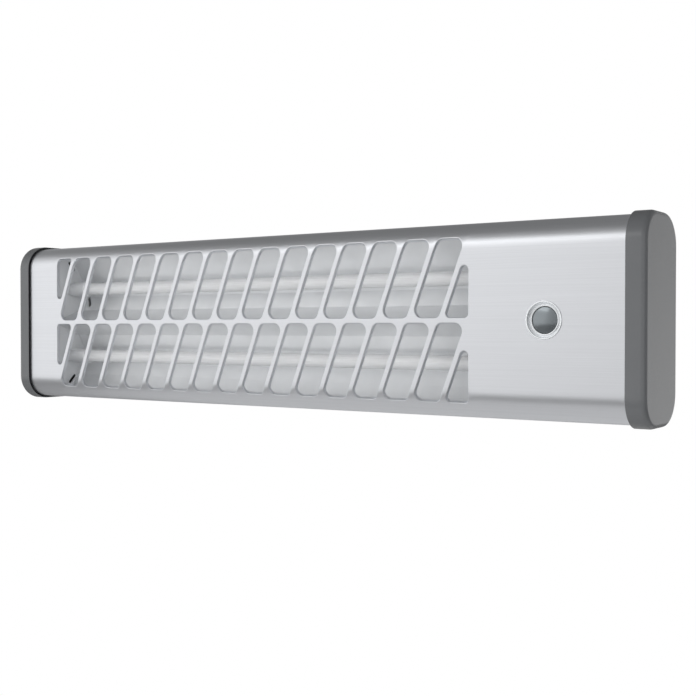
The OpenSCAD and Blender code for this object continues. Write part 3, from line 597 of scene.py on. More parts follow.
@dataclass
class RolledHousing:
    """The brushed aluminium housing: one sheet, punched with two rows of slots and rolled."""

    half_length: float = 280.0
    half_height: float = 65.5
    front: float = -106.0
    back: float = -50.0
    sheet: float = 1.0
    front_bend: float = 18.4
    rear_bend: float = 19.0
    lip: float = 9.0
    grille_middle: float = -36.1
    row_middle: float = 28.4
    edge_roll: float = 0.55
    edge_steps: int = 5
    edge_margin: float = 0.3
    collar_margin: float = 1.2
    collar: Sequence[tuple[float, float]] = (
        (0.0, 1.25), (-0.05, 1.45), (-0.32, 1.98), (-0.4, 2.14),
        (-0.3, 2.22), (0.62, 1.65), (0.7, 1.15), (0.85, 1.0))
    plain_edge: Sequence[tuple[float, float]] = ((0.0, 0.9), (0.08, 1.0))
    slot_spans: int = 2
    end_spans: int = 6
    front_steps: int = 13
    rear_steps: int = 18
    left_steps: int = 6
    right_steps: int = 7
    button_x: float = 218.4
    button_hole: float = 11.98
    button_cell: float = 16.0
    button_roll: float = 0.1
    button_steps: int = 8
    slots: SlotPattern = field(default_factory=SlotPattern)

    def face(self, x: np.ndarray, z: np.ndarray, depth: np.ndarray | float) -> np.ndarray:
        """Puts places of the flat sheet on its bent front.

        Where the height z passes the start of the bend by s, the sheet's normal leans by
        arcsin(s / r). The place is on the arc there, moved inwards along that normal.

        Args:
            x: Places along the housing.
            z: Heights of the outer surface.
            depth: Distance under the outer surface.

        Returns:
            Points, with a last axis of 3.
        """
        x, z, depth = np.broadcast_arrays(x, z, np.asarray(depth, float))
        over = np.maximum(np.abs(z) - (self.half_height - self.front_bend), 0.0)
        sine = over / self.front_bend
        cosine = np.sqrt(1 - sine ** 2)
        y = self.front + self.front_bend * (1 - cosine) + depth * cosine
        return np.stack([x, y, z - np.sign(z) * depth * sine], axis=-1)

    def rest(self) -> tuple[np.ndarray, np.ndarray]:
        """Traces the upper sheet from the rows' far border over the top to the edge at the back.

        Returns:
            Points of the outer surface and its inward normals, as y and z, n by 2.
        """
        top = self.row_middle + self.slots.cell_half
        high_a, high_b = self.half_height - self.front_bend, self.half_height - self.rear_bend
        start = math.asin((top - high_a) / self.front_bend)
        a = np.linspace(start, math.pi / 2, self.front_steps + 1)
        b = np.linspace(math.pi / 2, math.pi, self.rear_steps + 1)
        out_a, out_b = (directions(angle) * [-1.0, 1.0] for angle in (a, b))
        arc_a = out_a * self.front_bend + [self.front + self.front_bend, high_a]
        arc_b = out_b * self.rear_bend + [self.back - self.rear_bend, high_b]
        edge = np.array([[self.back, high_b - self.lip]])
        return np.vstack([arc_a, arc_b, edge]), -np.vstack([out_a, out_b, [[1.0, 0.0]]])

    def ring_rows(self, places: np.ndarray, normals: np.ndarray, outer: np.ndarray, roll: float,
                  rim: Sequence[tuple[float, float]], spans: int) -> np.ndarray:
        """Makes the rows of points from a cell's border into its hole and back behind the sheet.

        The edge is a quarter circle of radius roll: at angle t the row stands roll (1 - sin t)
        outside the hole and roll (1 - cos t) under the surface. The rim runs on from there and
        returns to the sheet. A collar is first straight and then flared into the hole.

        Args:
            places: Outline of the hole, n by 2.
            normals: Its outward normals, n by 2.
            outer: Border of the cell, n by 2.
            roll: Radius of the edge.
            rim: Distance outside the hole and depth under the surface of each further row.
            spans: Steps between the border and the edge.

        Returns:
            Points as rows by n by 3.
        """
        turn = np.linspace(0.0, math.pi / 2, self.edge_steps + 1)
        arc = np.stack([roll * (1 - np.sin(turn)), roll * (1 - np.cos(turn))], axis=1)
        offset, depth = np.vstack([[[roll + self.edge_margin, 0.0]], arc, rim,
                                   [[self.collar_margin, self.sheet]]]).T
        edge = places[None] + offset[:, None, None] * normals[None]
        share = (np.arange(1, spans) / spans)[:, None, None]
        near = outer + (edge[0] - outer) * share
        far = edge[-1] + (outer - edge[-1]) * share
        flat = np.concatenate([outer[None], near, edge, far, outer[None]])
        depth = np.concatenate([np.zeros(spans), depth, np.full(spans, self.sheet)])
        return self.face(flat[..., 0], flat[..., 1], depth[:, None])

    def add_row(self, skin: Surface, row: Row) -> None:
        """Adds every slot of one row with the sheet round it, and the plain corners beside it.

        Args:
            skin: Where the faces go.
            row: The row.
        """
        middle = np.array([self.grille_middle, row.value * self.row_middle])
        rings = self.slots.rings()
        for k, (places, normals, outer) in enumerate(rings):
            spans = self.end_spans if k in (0, len(rings) - 1) else self.slot_spans
            grid = self.ring_rows(places + middle, normals, outer + middle,
                                  self.edge_roll, self.collar, spans)
            skin.add_grid(grid, round_cols=True)
        for turn in (1.0, -1.0):
            plain = turn * self.slots.gusset() + middle
            self.add_sheet(skin, plain[..., 0], plain[..., 1])

    def add_sheet(self, skin: Surface, x: np.ndarray, z: np.ndarray) -> None:
        """Adds both surfaces of a plain piece of the front, whose places fill a grid."""
        for depth in (0.0, self.sheet):
            skin.add_grid(self.face(x, z, depth), flip=depth > 0)

    def heights(self) -> np.ndarray:
        """Heights at which points stand on the upright borders of the grille, from low to high."""
        up = self.row_middle + self.slots.side_heights()
        return np.concatenate([-up[::-1], up])

    def add_plain_front(self, skin: Surface) -> tuple[np.ndarray, np.ndarray]:
        """Adds the sheet left and right of the grille, with the hole for the button.

        Args:
            skin: Where the faces go.

        Returns:
            Places along x of the points on the left and on the right part.
        """
        z = self.heights()
        grille_left = self.grille_middle - self.slots.half_border
        grille_right = self.grille_middle + self.slots.half_border
        left = np.linspace(-self.half_length, grille_left, self.left_steps + 1)
        near, far = self.button_x - self.button_cell, self.button_x + self.button_cell
        before = np.linspace(grille_right, near, self.right_steps + 1)
        after = np.linspace(far, self.half_length, self.right_steps + 1)
        across = np.linspace(near, far, self.button_steps + 1)
        inside = np.abs(z) < self.button_cell
        low, high = z[~inside & (z < 0)], z[~inside & (z > 0)]
        cell_z = np.concatenate([low[-1:], z[inside], high[:1]])
        for x, heights in ((left, z), (before, z), (after, z), (across, low), (across, high)):
            self.add_sheet(skin, x, heights[:, None])
        bottom, top = cell_z[0], cell_z[-1]
        share = (cell_z - bottom) / (top - bottom)
        even = np.linspace(0.0, 1.0, len(across))
        corners = np.array([[near, bottom], [far, bottom], [far, top], [near, top]])
        sides = [even, share, even, 1 - share[::-1]]
        outer = border(corners, sides)
        angle = np.arctan2(outer[:, 1], outer[:, 0] - self.button_x)
        normals = directions(angle)
        hole = np.array([self.button_x, 0.0]) + self.button_hole * normals
        grid = self.ring_rows(hole, normals, outer, self.button_roll, self.plain_edge, 1)
        skin.add_grid(grid, round_cols=True)
        return left, merged(before, across, after)

    def add_middle(self, skin: Surface) -> None:
        """Adds the narrow strip in the rail's middle, where the points of the two rows differ.

        Args:
            skin: Where the faces go.
        """
        half = self.row_middle - self.slots.cell_half
        above = -self.slots.edge_line(Row.UPPER)[::-1] + self.grille_middle
        below = -self.slots.edge_line(Row.LOWER)[::-1] + self.grille_middle
        for depth in (0.0, self.sheet):
            upper = self.face(above, np.full_like(above, half), depth)
            lower = self.face(below, np.full_like(below, -half), depth)
            skin.add_faces(zipper(upper, lower), flip=depth > 0)

    def add_rest(self, skin: Surface, row: Row, left: np.ndarray, right: np.ndarray) -> None:
        """Adds the sheet beyond one row: the bends, the top or bottom and the lip at the back.

        Args:
            skin: Where the faces go.
            row: The row.
            left: Places along x of the points left of the grille.
            right: Places along x of the points right of the grille.
        """
        x = merged(left, self.slots.edge_line(row) + self.grille_middle, right)
        upper = row is Row.UPPER
        outer, inward = self.rest()
        rows = []
        for depth in (0.0, self.sheet):
            section = outer + depth * inward
            grid = np.zeros((len(section), len(x), 3))
            grid[..., 0] = x
            grid[..., 1] = section[:, 0, None]
            grid[..., 2] = row.value * section[:, 1, None]
            skin.add_grid(grid, flip=(depth > 0) == upper)
            rows.append(grid)
        skin.add_grid(np.stack([rows[0][-1], rows[1][-1]]), flip=not upper)
        skin.add_grid(np.stack([rows[0][:, 0], rows[1][:, 0]]), flip=not upper)
        skin.add_grid(np.stack([rows[0][:, -1], rows[1][:, -1]]), flip=upper)

    def add_front_ends(self, skin: Surface) -> None:
        """Closes the sheet's cut ends on the front.

        Args:
            skin: Where the faces go.
        """
        z = self.heights()
        for end in End:
            x = np.full_like(z, end.value * self.half_length)
            rim = np.stack([self.face(x, z, 0.0), self.face(x, z, self.sheet)])
            skin.add_grid(rim, flip=end is End.RIGHT)

    def build(self) -> bpy.types.Object:
        """Makes the housing.

        Returns:
            The housing.
        """
        skin = Surface()
        for row in Row:
            self.add_row(skin, row)
        left, right = self.add_plain_front(skin)
        self.add_middle(skin)
        for row in Row:
            self.add_rest(skin, row, left, right)
        self.add_front_ends(skin)
        return skin.build("rolled_housing")


@dataclass
class EndCap:
    """A moulded cap with a skirt round the housing's end."""

    end: End
    inner_x: float = 272.0
    outer_x: float = 285.0
    ledge_x: float = 280.02
    front: float = -108.0
    back: float = -48.0
    half_height: float = 67.5
    front_corner: float = 20.4
    rear_corner: float = 21.0
    skirt: float = 1.75
    edge: float = 3.5
    edge_steps: int = 10
    mouth_edge: float = 0.35
    mouth_steps: int = 4
    lip: float = 0.5
    flare: float = 2.4
    face_margins: tuple[float, float] = (0.4, 9.0)
    corner_steps: int = 12
    long_steps: int = 12
    short_steps: int = 3

    def outline(self) -> tuple[np.ndarray, np.ndarray]:
        """Traces the cap's section counterclockwise as y and z, with its outward normals.

        Returns:
            Points and normals, both m by 2.
        """
        corners = np.array([[self.front, -self.half_height], [self.back, -self.half_height],
                            [self.back, self.half_height], [self.front, self.half_height]])
        radii = [self.front_corner, self.rear_corner, self.rear_corner, self.front_corner]
        turn = self.corner_steps
        sides = [(turn, self.short_steps, turn), (turn, self.long_steps, turn)]
        return outline_ring(corners, radii, sides * 2)

    def profile(self) -> np.ndarray:
        """Lists the distance inside the outline and the place along x, from the ledge outwards.

        Both rounded edges are quarter circles: at angle t the distance inside the outline is
        r (1 - cos t) and the step along x is r sin t.

        Returns:
            Distances and places, n by 2.
        """
        small = np.radians(np.linspace(90, 0, self.mouth_steps + 1))
        mouth = np.stack([self.mouth_edge * (1 - np.cos(small)),
                          self.inner_x + self.mouth_edge * (1 - np.sin(small))], axis=1)
        large = np.radians(np.linspace(0, 90, self.edge_steps + 1))
        rim = np.stack([self.edge * (1 - np.cos(large)),
                        self.outer_x - self.edge * (1 - np.sin(large))], axis=1)
        start = [[self.skirt, self.ledge_x], [self.skirt, self.inner_x + self.flare],
                 [self.lip, self.inner_x]]
        end = [[self.edge + margin, self.outer_x] for margin in self.face_margins]
        return np.vstack([start, mouth, rim, end])

    def build(self) -> bpy.types.Object:
        """Makes the cap as its outline carried along the profile, closed by two flat discs.

        Returns:
            The cap.
        """
        places, normals = self.outline()
        profile = self.profile()
        rows = places[None] - profile[:, 0, None, None] * normals[None]
        middle = np.array([(self.front + self.back) / 2, 0.0])
        hub = np.broadcast_to(middle, rows[:1].shape)
        rows = np.concatenate([hub, rows, hub])
        along = np.concatenate([[self.ledge_x], profile[:, 1], [self.outer_x]])
        grid = np.zeros(rows.shape[:2] + (3,))
        grid[..., 0] = self.end.value * along[:, None]
        grid[..., 1:] = rows
        name = f"moulded_cap_{self.end.label}"
        return made_of_grid(name, grid, round_cols=True, flip=self.end is End.LEFT)


@dataclass
class HeatingElement:
    """A milky quartz tube with its coil, held by a ceramic end at each plate."""

    row: Row
    left_plate: float = -254.0
    right_plate: float = 180.0
    axis_y: float = -78.0
    axis_z: float = 29.5
    tube_left: float = -242.0
    tube_right: float = 168.0
    tube_radius: float = 5.25
    tube_wall: float = 1.1
    tube_edge: float = 0.4
    tube_margin: float = 6.0
    tube_rings: int = 24
    sides: int = 48
    coil_radius: float = 3.1
    coil_ease: float = 0.75
    coil_tail: float = 0.9
    curls: int = 34
    curl_steps: int = 16
    wire_radius: float = 0.45
    wire_sides: int = 8
    ceramic_length: float = 26.0
    ceramic_edges: Sequence[float] = (0, 0.3, 0.05, 0.3, 0.6, 0.4, 0.4, 0.3, 0.2, 0)
    socket: float = 14.0
    slip: float = 0.08
    pin_radius: float = 1.15
    neck_radius: float = 3.6
    neck_length: float = 2.9
    shoulder: float = 0.8
    holder_radius: float = 6.33
    cone: float = 8.0
    cone_drop: float = 0.5
    cone_rim: float = 1.0

    def centre(self, x: float = 0.0) -> Point:
        """Gives the point on the tube's axis at a place along x."""
        return (x, self.axis_y, self.row.value * self.axis_z)

    def build_tube(self) -> bpy.types.Object:
        """Makes the tube: a rounded section, turned about the axis.

        Evenly spaced rings stand along the outer wall, after the rounded edge at its left end.

        Returns:
            The tube.
        """
        outer, inner = self.tube_radius, self.tube_radius - self.tube_wall
        corners = [[inner, self.tube_left], [outer, self.tube_left],
                   [outer, self.tube_right], [inner, self.tube_right]]
        ring = rounded(corners, [self.tube_edge] * 4)
        along = np.linspace(self.tube_left + self.tube_margin,
                            self.tube_right - self.tube_margin, self.tube_rings)
        at_left = ring[:, 1] < self.tube_left + self.tube_margin
        join = np.where((ring[:, 0] == ring[:, 0].max()) & at_left)[0][-1] + 1
        middle = np.stack([np.full_like(along, outer), along], axis=1)
        profile = np.vstack([ring[:join], middle, ring[join:]])
        name = f"quartz_glass_{self.row.label}"
        return turned(name, profile, self.centre(), "x", self.sides)

    def build_ceramic(self, end: End) -> bpy.types.Object:
        """Makes a ceramic end: neck, cone and socket, with small radii at its edges.

        Args:
            end: The end of the tube that it holds.

        Returns:
            The ceramic end.
        """
        plate = self.left_plate if end is End.LEFT else self.right_plate
        hole, bore = self.pin_radius + self.slip, self.tube_radius + self.slip
        depth = self.ceramic_length - self.socket
        corners = [[hole, -self.neck_length], [self.neck_radius, -self.neck_length],
                   [self.neck_radius, 0.0], [self.neck_radius + self.shoulder, 0.0],
                   [self.holder_radius - self.cone_drop, self.cone],
                   [self.holder_radius, self.cone + self.cone_rim],
                   [self.holder_radius, self.ceramic_length], [bore, self.ceramic_length],
                   [bore, depth], [hole, depth]]
        profile = rounded(corners, self.ceramic_edges)
        if end is End.RIGHT:
            profile = profile[::-1] * [1.0, -1.0]
        name = f"ceramic_end_{self.row.label}_{end.label}"
        return turned(name, profile, self.centre(plate), "x", self.sides)

    def build_coil(self) -> bpy.types.Object:
        """Makes the resistance wire.

        At turn k the wire stands at angle 2 pi k round the axis. Its distance from the axis grows
        over the first three quarters of a turn as 3 t^2 - 2 t^3 and shrinks in the same way at
        the end.

        Returns:
            The coil.
        """
        pitch = (self.tube_right - self.tube_left - 2 * self.coil_tail) / self.curls
        turns = np.arange(self.curls * self.curl_steps + 1) / self.curl_steps
        ease = np.clip(np.minimum(turns, self.curls - turns) / self.coil_ease, 0.0, 1.0)
        radius = self.coil_radius * ease ** 2 * (3 - 2 * ease)
        angle = 2 * math.pi * turns
        path = np.stack([self.tube_left + self.coil_tail + pitch * turns,
                         self.axis_y - radius * np.sin(angle),
                         self.row.value * self.axis_z - radius * np.cos(angle)], axis=1)
        path = with_tails(path, (self.coil_tail, 0.0, 0.0))
        name = f"resistance_coil_{self.row.label}"
        return swept(path, self.wire_radius, self.wire_sides, name)


def with_tails(path: np.ndarray, tail: Sequence[float]) -> np.ndarray:
    """Leads a path straight in and out, by the same step before its start and after its end."""
    return np.vstack([path[0] - tail, path, path[-1] + tail])


def swept(path: np.ndarray, radius: float, sides: int, name: str) -> bpy.types.Object:
    """Makes a round wire along a path.

    At each point the ring lies in the plane of two directions at right angles to the path: the
    path's direction crossed with a steady reference, and that one crossed with the path again.

    Args:
        path: Points in millimetres, n by 3.
        radius: Radius of the wire.
        sides: Points round the wire.
        name: The object's name.

    Returns:
        A closed mesh object.
    """
    along = np.gradient(path, axis=0)
    along /= np.linalg.norm(along, axis=1, keepdims=True)
    side = steady_sides(along)
    over = np.cross(along, side)
    angle = np.linspace(0, 2 * math.pi, sides, endpoint=False)[None, :, None]
    around = np.cos(angle) * side[:, None] + np.sin(angle) * over[:, None]
    rings = path[:, None] + radius * around
    first, last = (np.broadcast_to(path[i], (1, sides, 3)) for i in (0, -1))
    return made_of_grid(name, np.concatenate([first, rings, last]), round_cols=True)


def steady_sides(along: np.ndarray) -> np.ndarray:
    """Finds a side direction for each point of a path that never turns about the path.

    The turn that takes each direction of the path to the next one is applied to the side too, as
    a product of small rotations gathered by doubling: a whole array of them is multiplied at each
    step. The first side lies at right angles to the path and to a direction that no path has.

    Args:
        along: Unit directions, n by 3.

    Returns:
        Unit side directions, n by 3.
    """
    a, b = along[:-1], along[1:]
    axis = np.cross(a, b)
    cosine = np.einsum("ij,ij->i", a, b)
    cross = np.zeros((len(a), 3, 3))
    cross[:, 0, 1], cross[:, 0, 2], cross[:, 1, 2] = -axis[:, 2], axis[:, 1], -axis[:, 0]
    cross -= cross.transpose(0, 2, 1)
    turn = np.eye(3) + cross + cross @ cross / (1 + cosine)[:, None, None]
    total = np.concatenate([np.eye(3)[None], turn])
    step = 1
    while step < len(total):
        total[step:] = total[step:] @ total[:-step]
        step *= 2
    first = np.cross(along[0], OFF_AXIS)
    sides = total @ (first / np.linalg.norm(first))
    return sides / np.linalg.norm(sides, axis=1, keepdims=True)


@dataclass
class PushButton:
    """The round push button with its dished bezel and bright ring."""

    x: float = 218.4
    front: float = -106.0
    bezel_radius: float = 12.4
    barrel_radius: float = 11.9
    barrel_seat: float = 0.02
    rim: float = 0.5
    rim_section: Sequence[tuple[float, float]] = (
        (0.0, 0.2), (0.06, 0.08), (0.2, 0.01), (0.4, 0.0), (0.7, 0.0))
    dish: float = 1.7
    dish_start: float = 0.9
    dish_foot: float = 0.25
    dish_power: float = 1.15
    dish_steps: int = 12
    ring_radius: float = 10.0
    ring_section: Sequence[tuple[float, float]] = ((0.05, 0.05), (-0.25, 0.32), (-0.6, 0.4))
    lip_section: Sequence[tuple[float, float]] = ((0.2, 0.36), (0.03, 0.2), (0.0, -0.05))
    button_radius: float = 8.5
    gap: float = 0.3
    guide: float = 7.3
    guide_thickness: float = 2.0
    stem_radius: float = 3.08
    barrel_length: float = 15.0
    dome: float = 1.3
    dome_steps: int = 16
    dome_edge: float = 0.45
    edge_start: float = 15.0
    edge_steps: int = 5
    skirt: float = 4.5
    wall: float = 1.3
    top: float = 1.6
    spring_radius: float = 5.0
    spring_wire: float = 0.4
    spring_curls: int = 3
    curl_steps: int = 20
    wire_sides: int = 8

    @property
    def centre(self) -> Point:
        """The middle of the button on the housing's face."""
        return (self.x, self.front, 0.0)

    def build_bezel(self) -> bpy.types.Object:
        """Makes the bezel: a rounded rim, a hollow dish and a raised ring beside the button.

        The rim's points are given by their distance inside the bezel's edge and under the rim's
        top, those of the ring and of its lip by their distance outside the ring's radius or the
        hole and above the dish's depth. At share t of the way in, the dish has gone down by
        sin(t pi / 2) to the dish's power.

        Returns:
            The bezel.
        """
        hole, deep = self.button_radius + self.gap, self.guide + self.guide_thickness
        t = np.linspace(0.0, 1.0, self.dish_steps + 1)
        start, foot = self.bezel_radius - self.dish_start, self.ring_radius + self.dish_foot
        fall = (self.dish + self.rim) * np.sin(t * math.pi / 2) ** self.dish_power
        dish = np.stack([start + (foot - start) * t, -self.rim + fall], axis=1)
        ring = [[self.ring_radius + out, self.dish - up] for out, up in self.ring_section]
        lip = [[hole + out, self.dish - up] for out, up in self.lip_section]
        rim = [[self.bezel_radius - inside, down - self.rim] for inside, down in self.rim_section]
        inside = [[hole, self.guide], [self.stem_radius, self.guide], [self.stem_radius, deep],
                  [self.button_radius, deep], [self.button_radius, self.barrel_length],
                  [self.barrel_radius, self.barrel_length],
                  [self.barrel_radius, self.barrel_seat], [self.barrel_radius, 0.0]]
        parts = [[[self.bezel_radius, 0.0]], rim, dish, ring, lip, inside]
        return turned("dished_bezel", np.vstack(parts)[::-1], self.centre, "y")

    def build_cap(self) -> bpy.types.Object:
        """Makes the button: a shallow dome whose height falls with the square of the radius.

        Returns:
            The button.
        """
        rim, inner = self.button_radius - self.dome_edge, self.button_radius - self.wall
        t = np.linspace(0.0, 1.0, self.dome_steps + 1)
        dome = np.stack([rim * t, self.dish - self.dome * (1 - t ** 2)], axis=1)
        turn = np.radians(np.linspace(self.edge_start, 90, self.edge_steps + 1))
        edge = np.stack([rim + self.dome_edge * np.sin(turn),
                         self.dish + self.dome_edge * (1 - np.cos(turn))], axis=1)
        under = self.dish + self.top
        inside = [[self.button_radius, self.skirt], [inner, self.skirt],
                  [inner, under], [0.0, under]]
        profile = np.vstack([dome, edge, inside])[::-1]
        return turned("domed_button", profile, self.centre, "y", loop=False)

    def build_spring(self) -> bpy.types.Object:
        """Makes the return spring, an even helix with a short straight tail at each end.

        Returns:
            The spring.
        """
        start = self.dish + self.top + self.spring_wire
        turns = np.linspace(0.0, self.spring_curls, self.spring_curls * self.curl_steps + 1)
        pitch = (self.guide - self.spring_wire - start) / self.spring_curls
        angle = 2 * math.pi * turns
        path = np.stack([self.x + self.spring_radius * np.cos(angle),
                         self.front + start + pitch * turns,
                         -self.spring_radius * np.sin(angle)], axis=1)
        path = with_tails(path, (0.0, 0.0, -2 * self.spring_wire))
        return swept(path, self.spring_wire, self.wire_sides, "return_spring")


@dataclass(frozen=True)
class Grain:
    """Noise in object space.

    The stretch says how much finer the noise is along x, y and z, the size how many waves stand
    in a metre, the detail how many finer waves lie on top, and share how strong they are.
    """

    stretch: Triple
    size: float
    detail: float = 2.0
    share: float = 0.6


EVEN: Triple = (1.0, 1.0, 1.0)
DRIFT_SHARE = 0.55


def map_range(tree: bpy.types.NodeTree, value: bpy.types.NodeSocket, before: Sequence[float],
              after: Sequence[float]) -> bpy.types.ShaderNodeMapRange:
    """Adds a node that stretches a value from one range over another.

    Args:
        tree: Where the node goes.
        value: The value.
        before: Start and end of the value's range.
        after: What the start and the end become.

    Returns:
        The node.
    """
    node = tree.nodes.new("ShaderNodeMapRange")
    for socket, level in zip(("From Min", "From Max", "To Min", "To Max"), (*before, *after)):
        node.inputs[socket].default_value = level
    tree.links.new(value, node.inputs["Value"])
    return node


class Shader:
    """One material's nodes, added in the order in which they are used."""

    def __init__(self, name: str) -> None:
        """Starts a material with the object-space coordinates at hand.

        Args:
            name: The material's name.
        """
        self.material = bpy.data.materials.new(name)
        self.material.use_nodes = True
        self.tree = self.material.node_tree
        self.surface = self.tree.nodes["Principled BSDF"]
        self.place = self.tree.nodes.new("ShaderNodeTexCoord").outputs["Object"]

    def level(self, socket: str, value: float | tuple[float, ...]) -> None:
        """Sets one of the surface's own sockets."""
        self.surface.inputs[socket].default_value = value

    def join(self, source: bpy.types.NodeSocket, target: bpy.types.NodeSocket) -> None:
        """Links two sockets."""
        self.tree.links.new(source, target)

    def noise(self, grain: Grain) -> bpy.types.NodeSocket:
        """Adds noise in object space, from 0 to 1.

        Args:
            grain: The kind of noise.

        Returns:
            The noise's value.
        """
        mapping = self.tree.nodes.new("ShaderNodeMapping")
        mapping.inputs["Scale"].default_value = grain.stretch
        self.join(self.place, mapping.inputs["Vector"])
        node = self.tree.nodes.new("ShaderNodeTexNoise")
        node.inputs["Scale"].default_value = grain.size
        node.inputs["Detail"].default_value = grain.detail
        node.inputs["Roughness"].default_value = grain.share
        self.join(mapping.outputs["Vector"], node.inputs["Vector"])
        return node.outputs["Fac"]

    def spread(self, value: bpy.types.NodeSocket, low: float, high: float,
               start: float = 0.25, end: float = 0.75) -> bpy.types.NodeSocket:
        """Stretches a value from the range start to end over the range low to high."""
        return map_range(self.tree, value, (start, end), (low, high)).outputs["Result"]

    def blend(self, share: bpy.types.NodeSocket, first: Colour,
              second: Colour) -> bpy.types.NodeSocket:
        """Mixes two display colours by a share from 0 to 1.

        Args:
            share: The second colour's share.
            first: The first colour.
            second: The second colour.

        Returns:
            The mixed colour.
        """
        node = self.tree.nodes.new("ShaderNodeMix")
        node.data_type = "RGBA"
        self.join(share, node.inputs["Factor"])
        node.inputs["A"].default_value = (*linear(first), 1.0)
        node.inputs["B"].default_value = (*linear(second), 1.0)
        return node.outputs["Result"]

    def relief(self, height: bpy.types.NodeSocket, depth: float) -> None:
        """Raises the surface by a height of up to depth millimetres, on top of earlier relief.

        Args:
            height: The height, from 0 to 1.
            depth: What a height of 1 means.
        """
        node = self.tree.nodes.new("ShaderNodeBump")
        node.inputs["Distance"].default_value = mm(depth)
        self.join(height, node.inputs["Height"])
        earlier = self.surface.inputs["Normal"].links
        if earlier:
            self.join(earlier[0].from_socket, node.inputs["Normal"])
        self.join(node.outputs["Normal"], self.surface.inputs["Normal"])


@dataclass(frozen=True)
class Finish:
    """A finish with slow drifts of tone and fine grain.

    Slow noise moves the colour between a darker and a lighter shade, fine noise moves the
    roughness and the height.
    """

    name: str
    shade: Colour
    rough: float
    metal: float = 0.0
    tone: float = 0.04
    gloss_drift: float = 0.06
    slow: float = 40.0
    fine: float = 2600.0
    depth: float = 0.01

    def shades(self) -> tuple[Colour, Colour]:
        """The darkest and the lightest shade.

        Returns:
            Two display colours.
        """
        dark = tuple(max(0.0, c - self.tone) for c in self.shade)
        light = tuple(min(1.0, c + self.tone) for c in self.shade)
        return dark, light

    def colour(self, shader: Shader, share: bpy.types.NodeSocket) -> None:
        """Moves the colour between the two shades by a share from 0 to 1."""
        shader.join(shader.blend(share, *self.shades()), shader.surface.inputs["Base Color"])

    def gloss(self, shader: Shader, grain: bpy.types.NodeSocket) -> None:
        """Moves the roughness up and down with a grain."""
        low, high = self.rough - self.gloss_drift, self.rough + self.gloss_drift
        shader.join(shader.spread(grain, low, high), shader.surface.inputs["Roughness"])

    def lay(self, shader: Shader) -> None:
        """Sets the sockets and the noise that every finish has.

        Args:
            shader: The material's nodes.
        """
        drift = shader.noise(Grain(EVEN, size=self.slow, share=DRIFT_SHARE))
        grain = shader.noise(Grain(EVEN, size=self.fine))
        self.colour(shader, shader.spread(drift, 0.0, 1.0))
        self.gloss(shader, grain)
        shader.level("Metallic", self.metal)
        shader.relief(grain, self.depth)

    def extra(self, shader: Shader) -> None:
        """Adds what only this finish has."""

    def build(self) -> bpy.types.Material:
        """Makes the material.

        Returns:
            The material.
        """
        shader = Shader(self.name)
        self.lay(shader)
        self.extra(shader)
        return shader.material


@dataclass(frozen=True)
class BrushedAluminium(Finish):
    """Sheet brushed along x: long fine scratches that differ in tone, gloss and height."""

    wide: Grain = Grain((0.5, 150.0, 150.0), size=14.0, detail=3.0, share=0.7)
    wide_depth: float = 0.003
    wide_range: tuple[float, float] = (0.3, 0.7)
    thin: Grain = Grain((0.8, 120.0, 120.0), size=44.0)
    thin_depth: float = 0.0025

    def extra(self, shader: Shader) -> None:
        """Adds long scratches of two widths.

        Args:
            shader: The material's nodes.
        """
        wide, thin = shader.noise(self.wide), shader.noise(self.thin)
        self.colour(shader, shader.spread(wide, 0.0, 1.0, *self.wide_range))
        self.gloss(shader, thin)
        shader.relief(wide, self.wide_depth)
        shader.relief(thin, self.thin_depth)


@dataclass(frozen=True)
class SatinPlastic(Finish):
    """Moulded plastic with a fine spark-eroded grain."""

    grain: Grain = Grain(EVEN, size=1500.0, detail=1.0, share=0.5)
    grain_depth: float = 0.02

    def extra(self, shader: Shader) -> None:
        """Adds the mould's grain."""
        shader.relief(shader.noise(self.grain), self.grain_depth)


@dataclass(frozen=True)
class MilkyQuartz(Finish):
    """Quartz glass, milky with fine bubbles drawn out along the tube.

    Its waves and the reach of light in the milky glass are in millimetres.
    """

    bubbles: Grain = Grain((0.04, 1.0, 1.0), size=900.0, share=0.7)
    bubble_depth: float = 0.01
    bubble_range: tuple[float, float] = (0.35, 0.6)
    waves: Grain = Grain((1.0, 0.2, 0.2), size=60.0)
    wave_depth: float = 0.5
    refraction: float = 1.46
    clear: float = 0.15
    milky: float = 0.4
    reach: float = 6.0

    def extra(self, shader: Shader) -> None:
        """Adds drawn-out bubbles and lets some light through.

        Args:
            shader: The material's nodes.
        """
        bubbles = shader.noise(self.bubbles)
        self.colour(shader, shader.spread(bubbles, 0.0, 1.0, *self.bubble_range))
        shader.relief(bubbles, self.bubble_depth)
        shader.relief(shader.noise(self.waves), self.wave_depth)
        shader.level("IOR", self.refraction)
        shader.level("Transmission Weight", self.clear)
        shader.level("Subsurface Weight", self.milky)
        shader.level("Subsurface Radius", EVEN)
        shader.level("Subsurface Scale", mm(self.reach))


@dataclass(frozen=True)
class RolledSheet(Finish):
    """Bright rolled sheet with a slow waviness that bends reflections."""

    waves: Grain = Grain(EVEN, size=26.0, detail=1.0, share=0.4)
    wave_depth: float = 0.12
    lines: Grain = Grain((0.4, 60.0, 60.0), size=30.0)
    line_depth: float = 0.004

    def extra(self, shader: Shader) -> None:
        """Adds the waves and faint rolling lines."""
        shader.relief(shader.noise(self.waves), self.wave_depth)
        shader.relief(shader.noise(self.lines), self.line_depth)


@dataclass(frozen=True)
class PolishedPlastic(Finish):
    """Glossy moulded plastic under a clear skin."""

    skin: float = 0.6
    skin_rough: float = 0.06

    def extra(self, shader: Shader) -> None:
        """Adds the clear skin."""
        shader.level("Coat Weight", self.skin)
        shader.level("Coat Roughness", self.skin_rough)


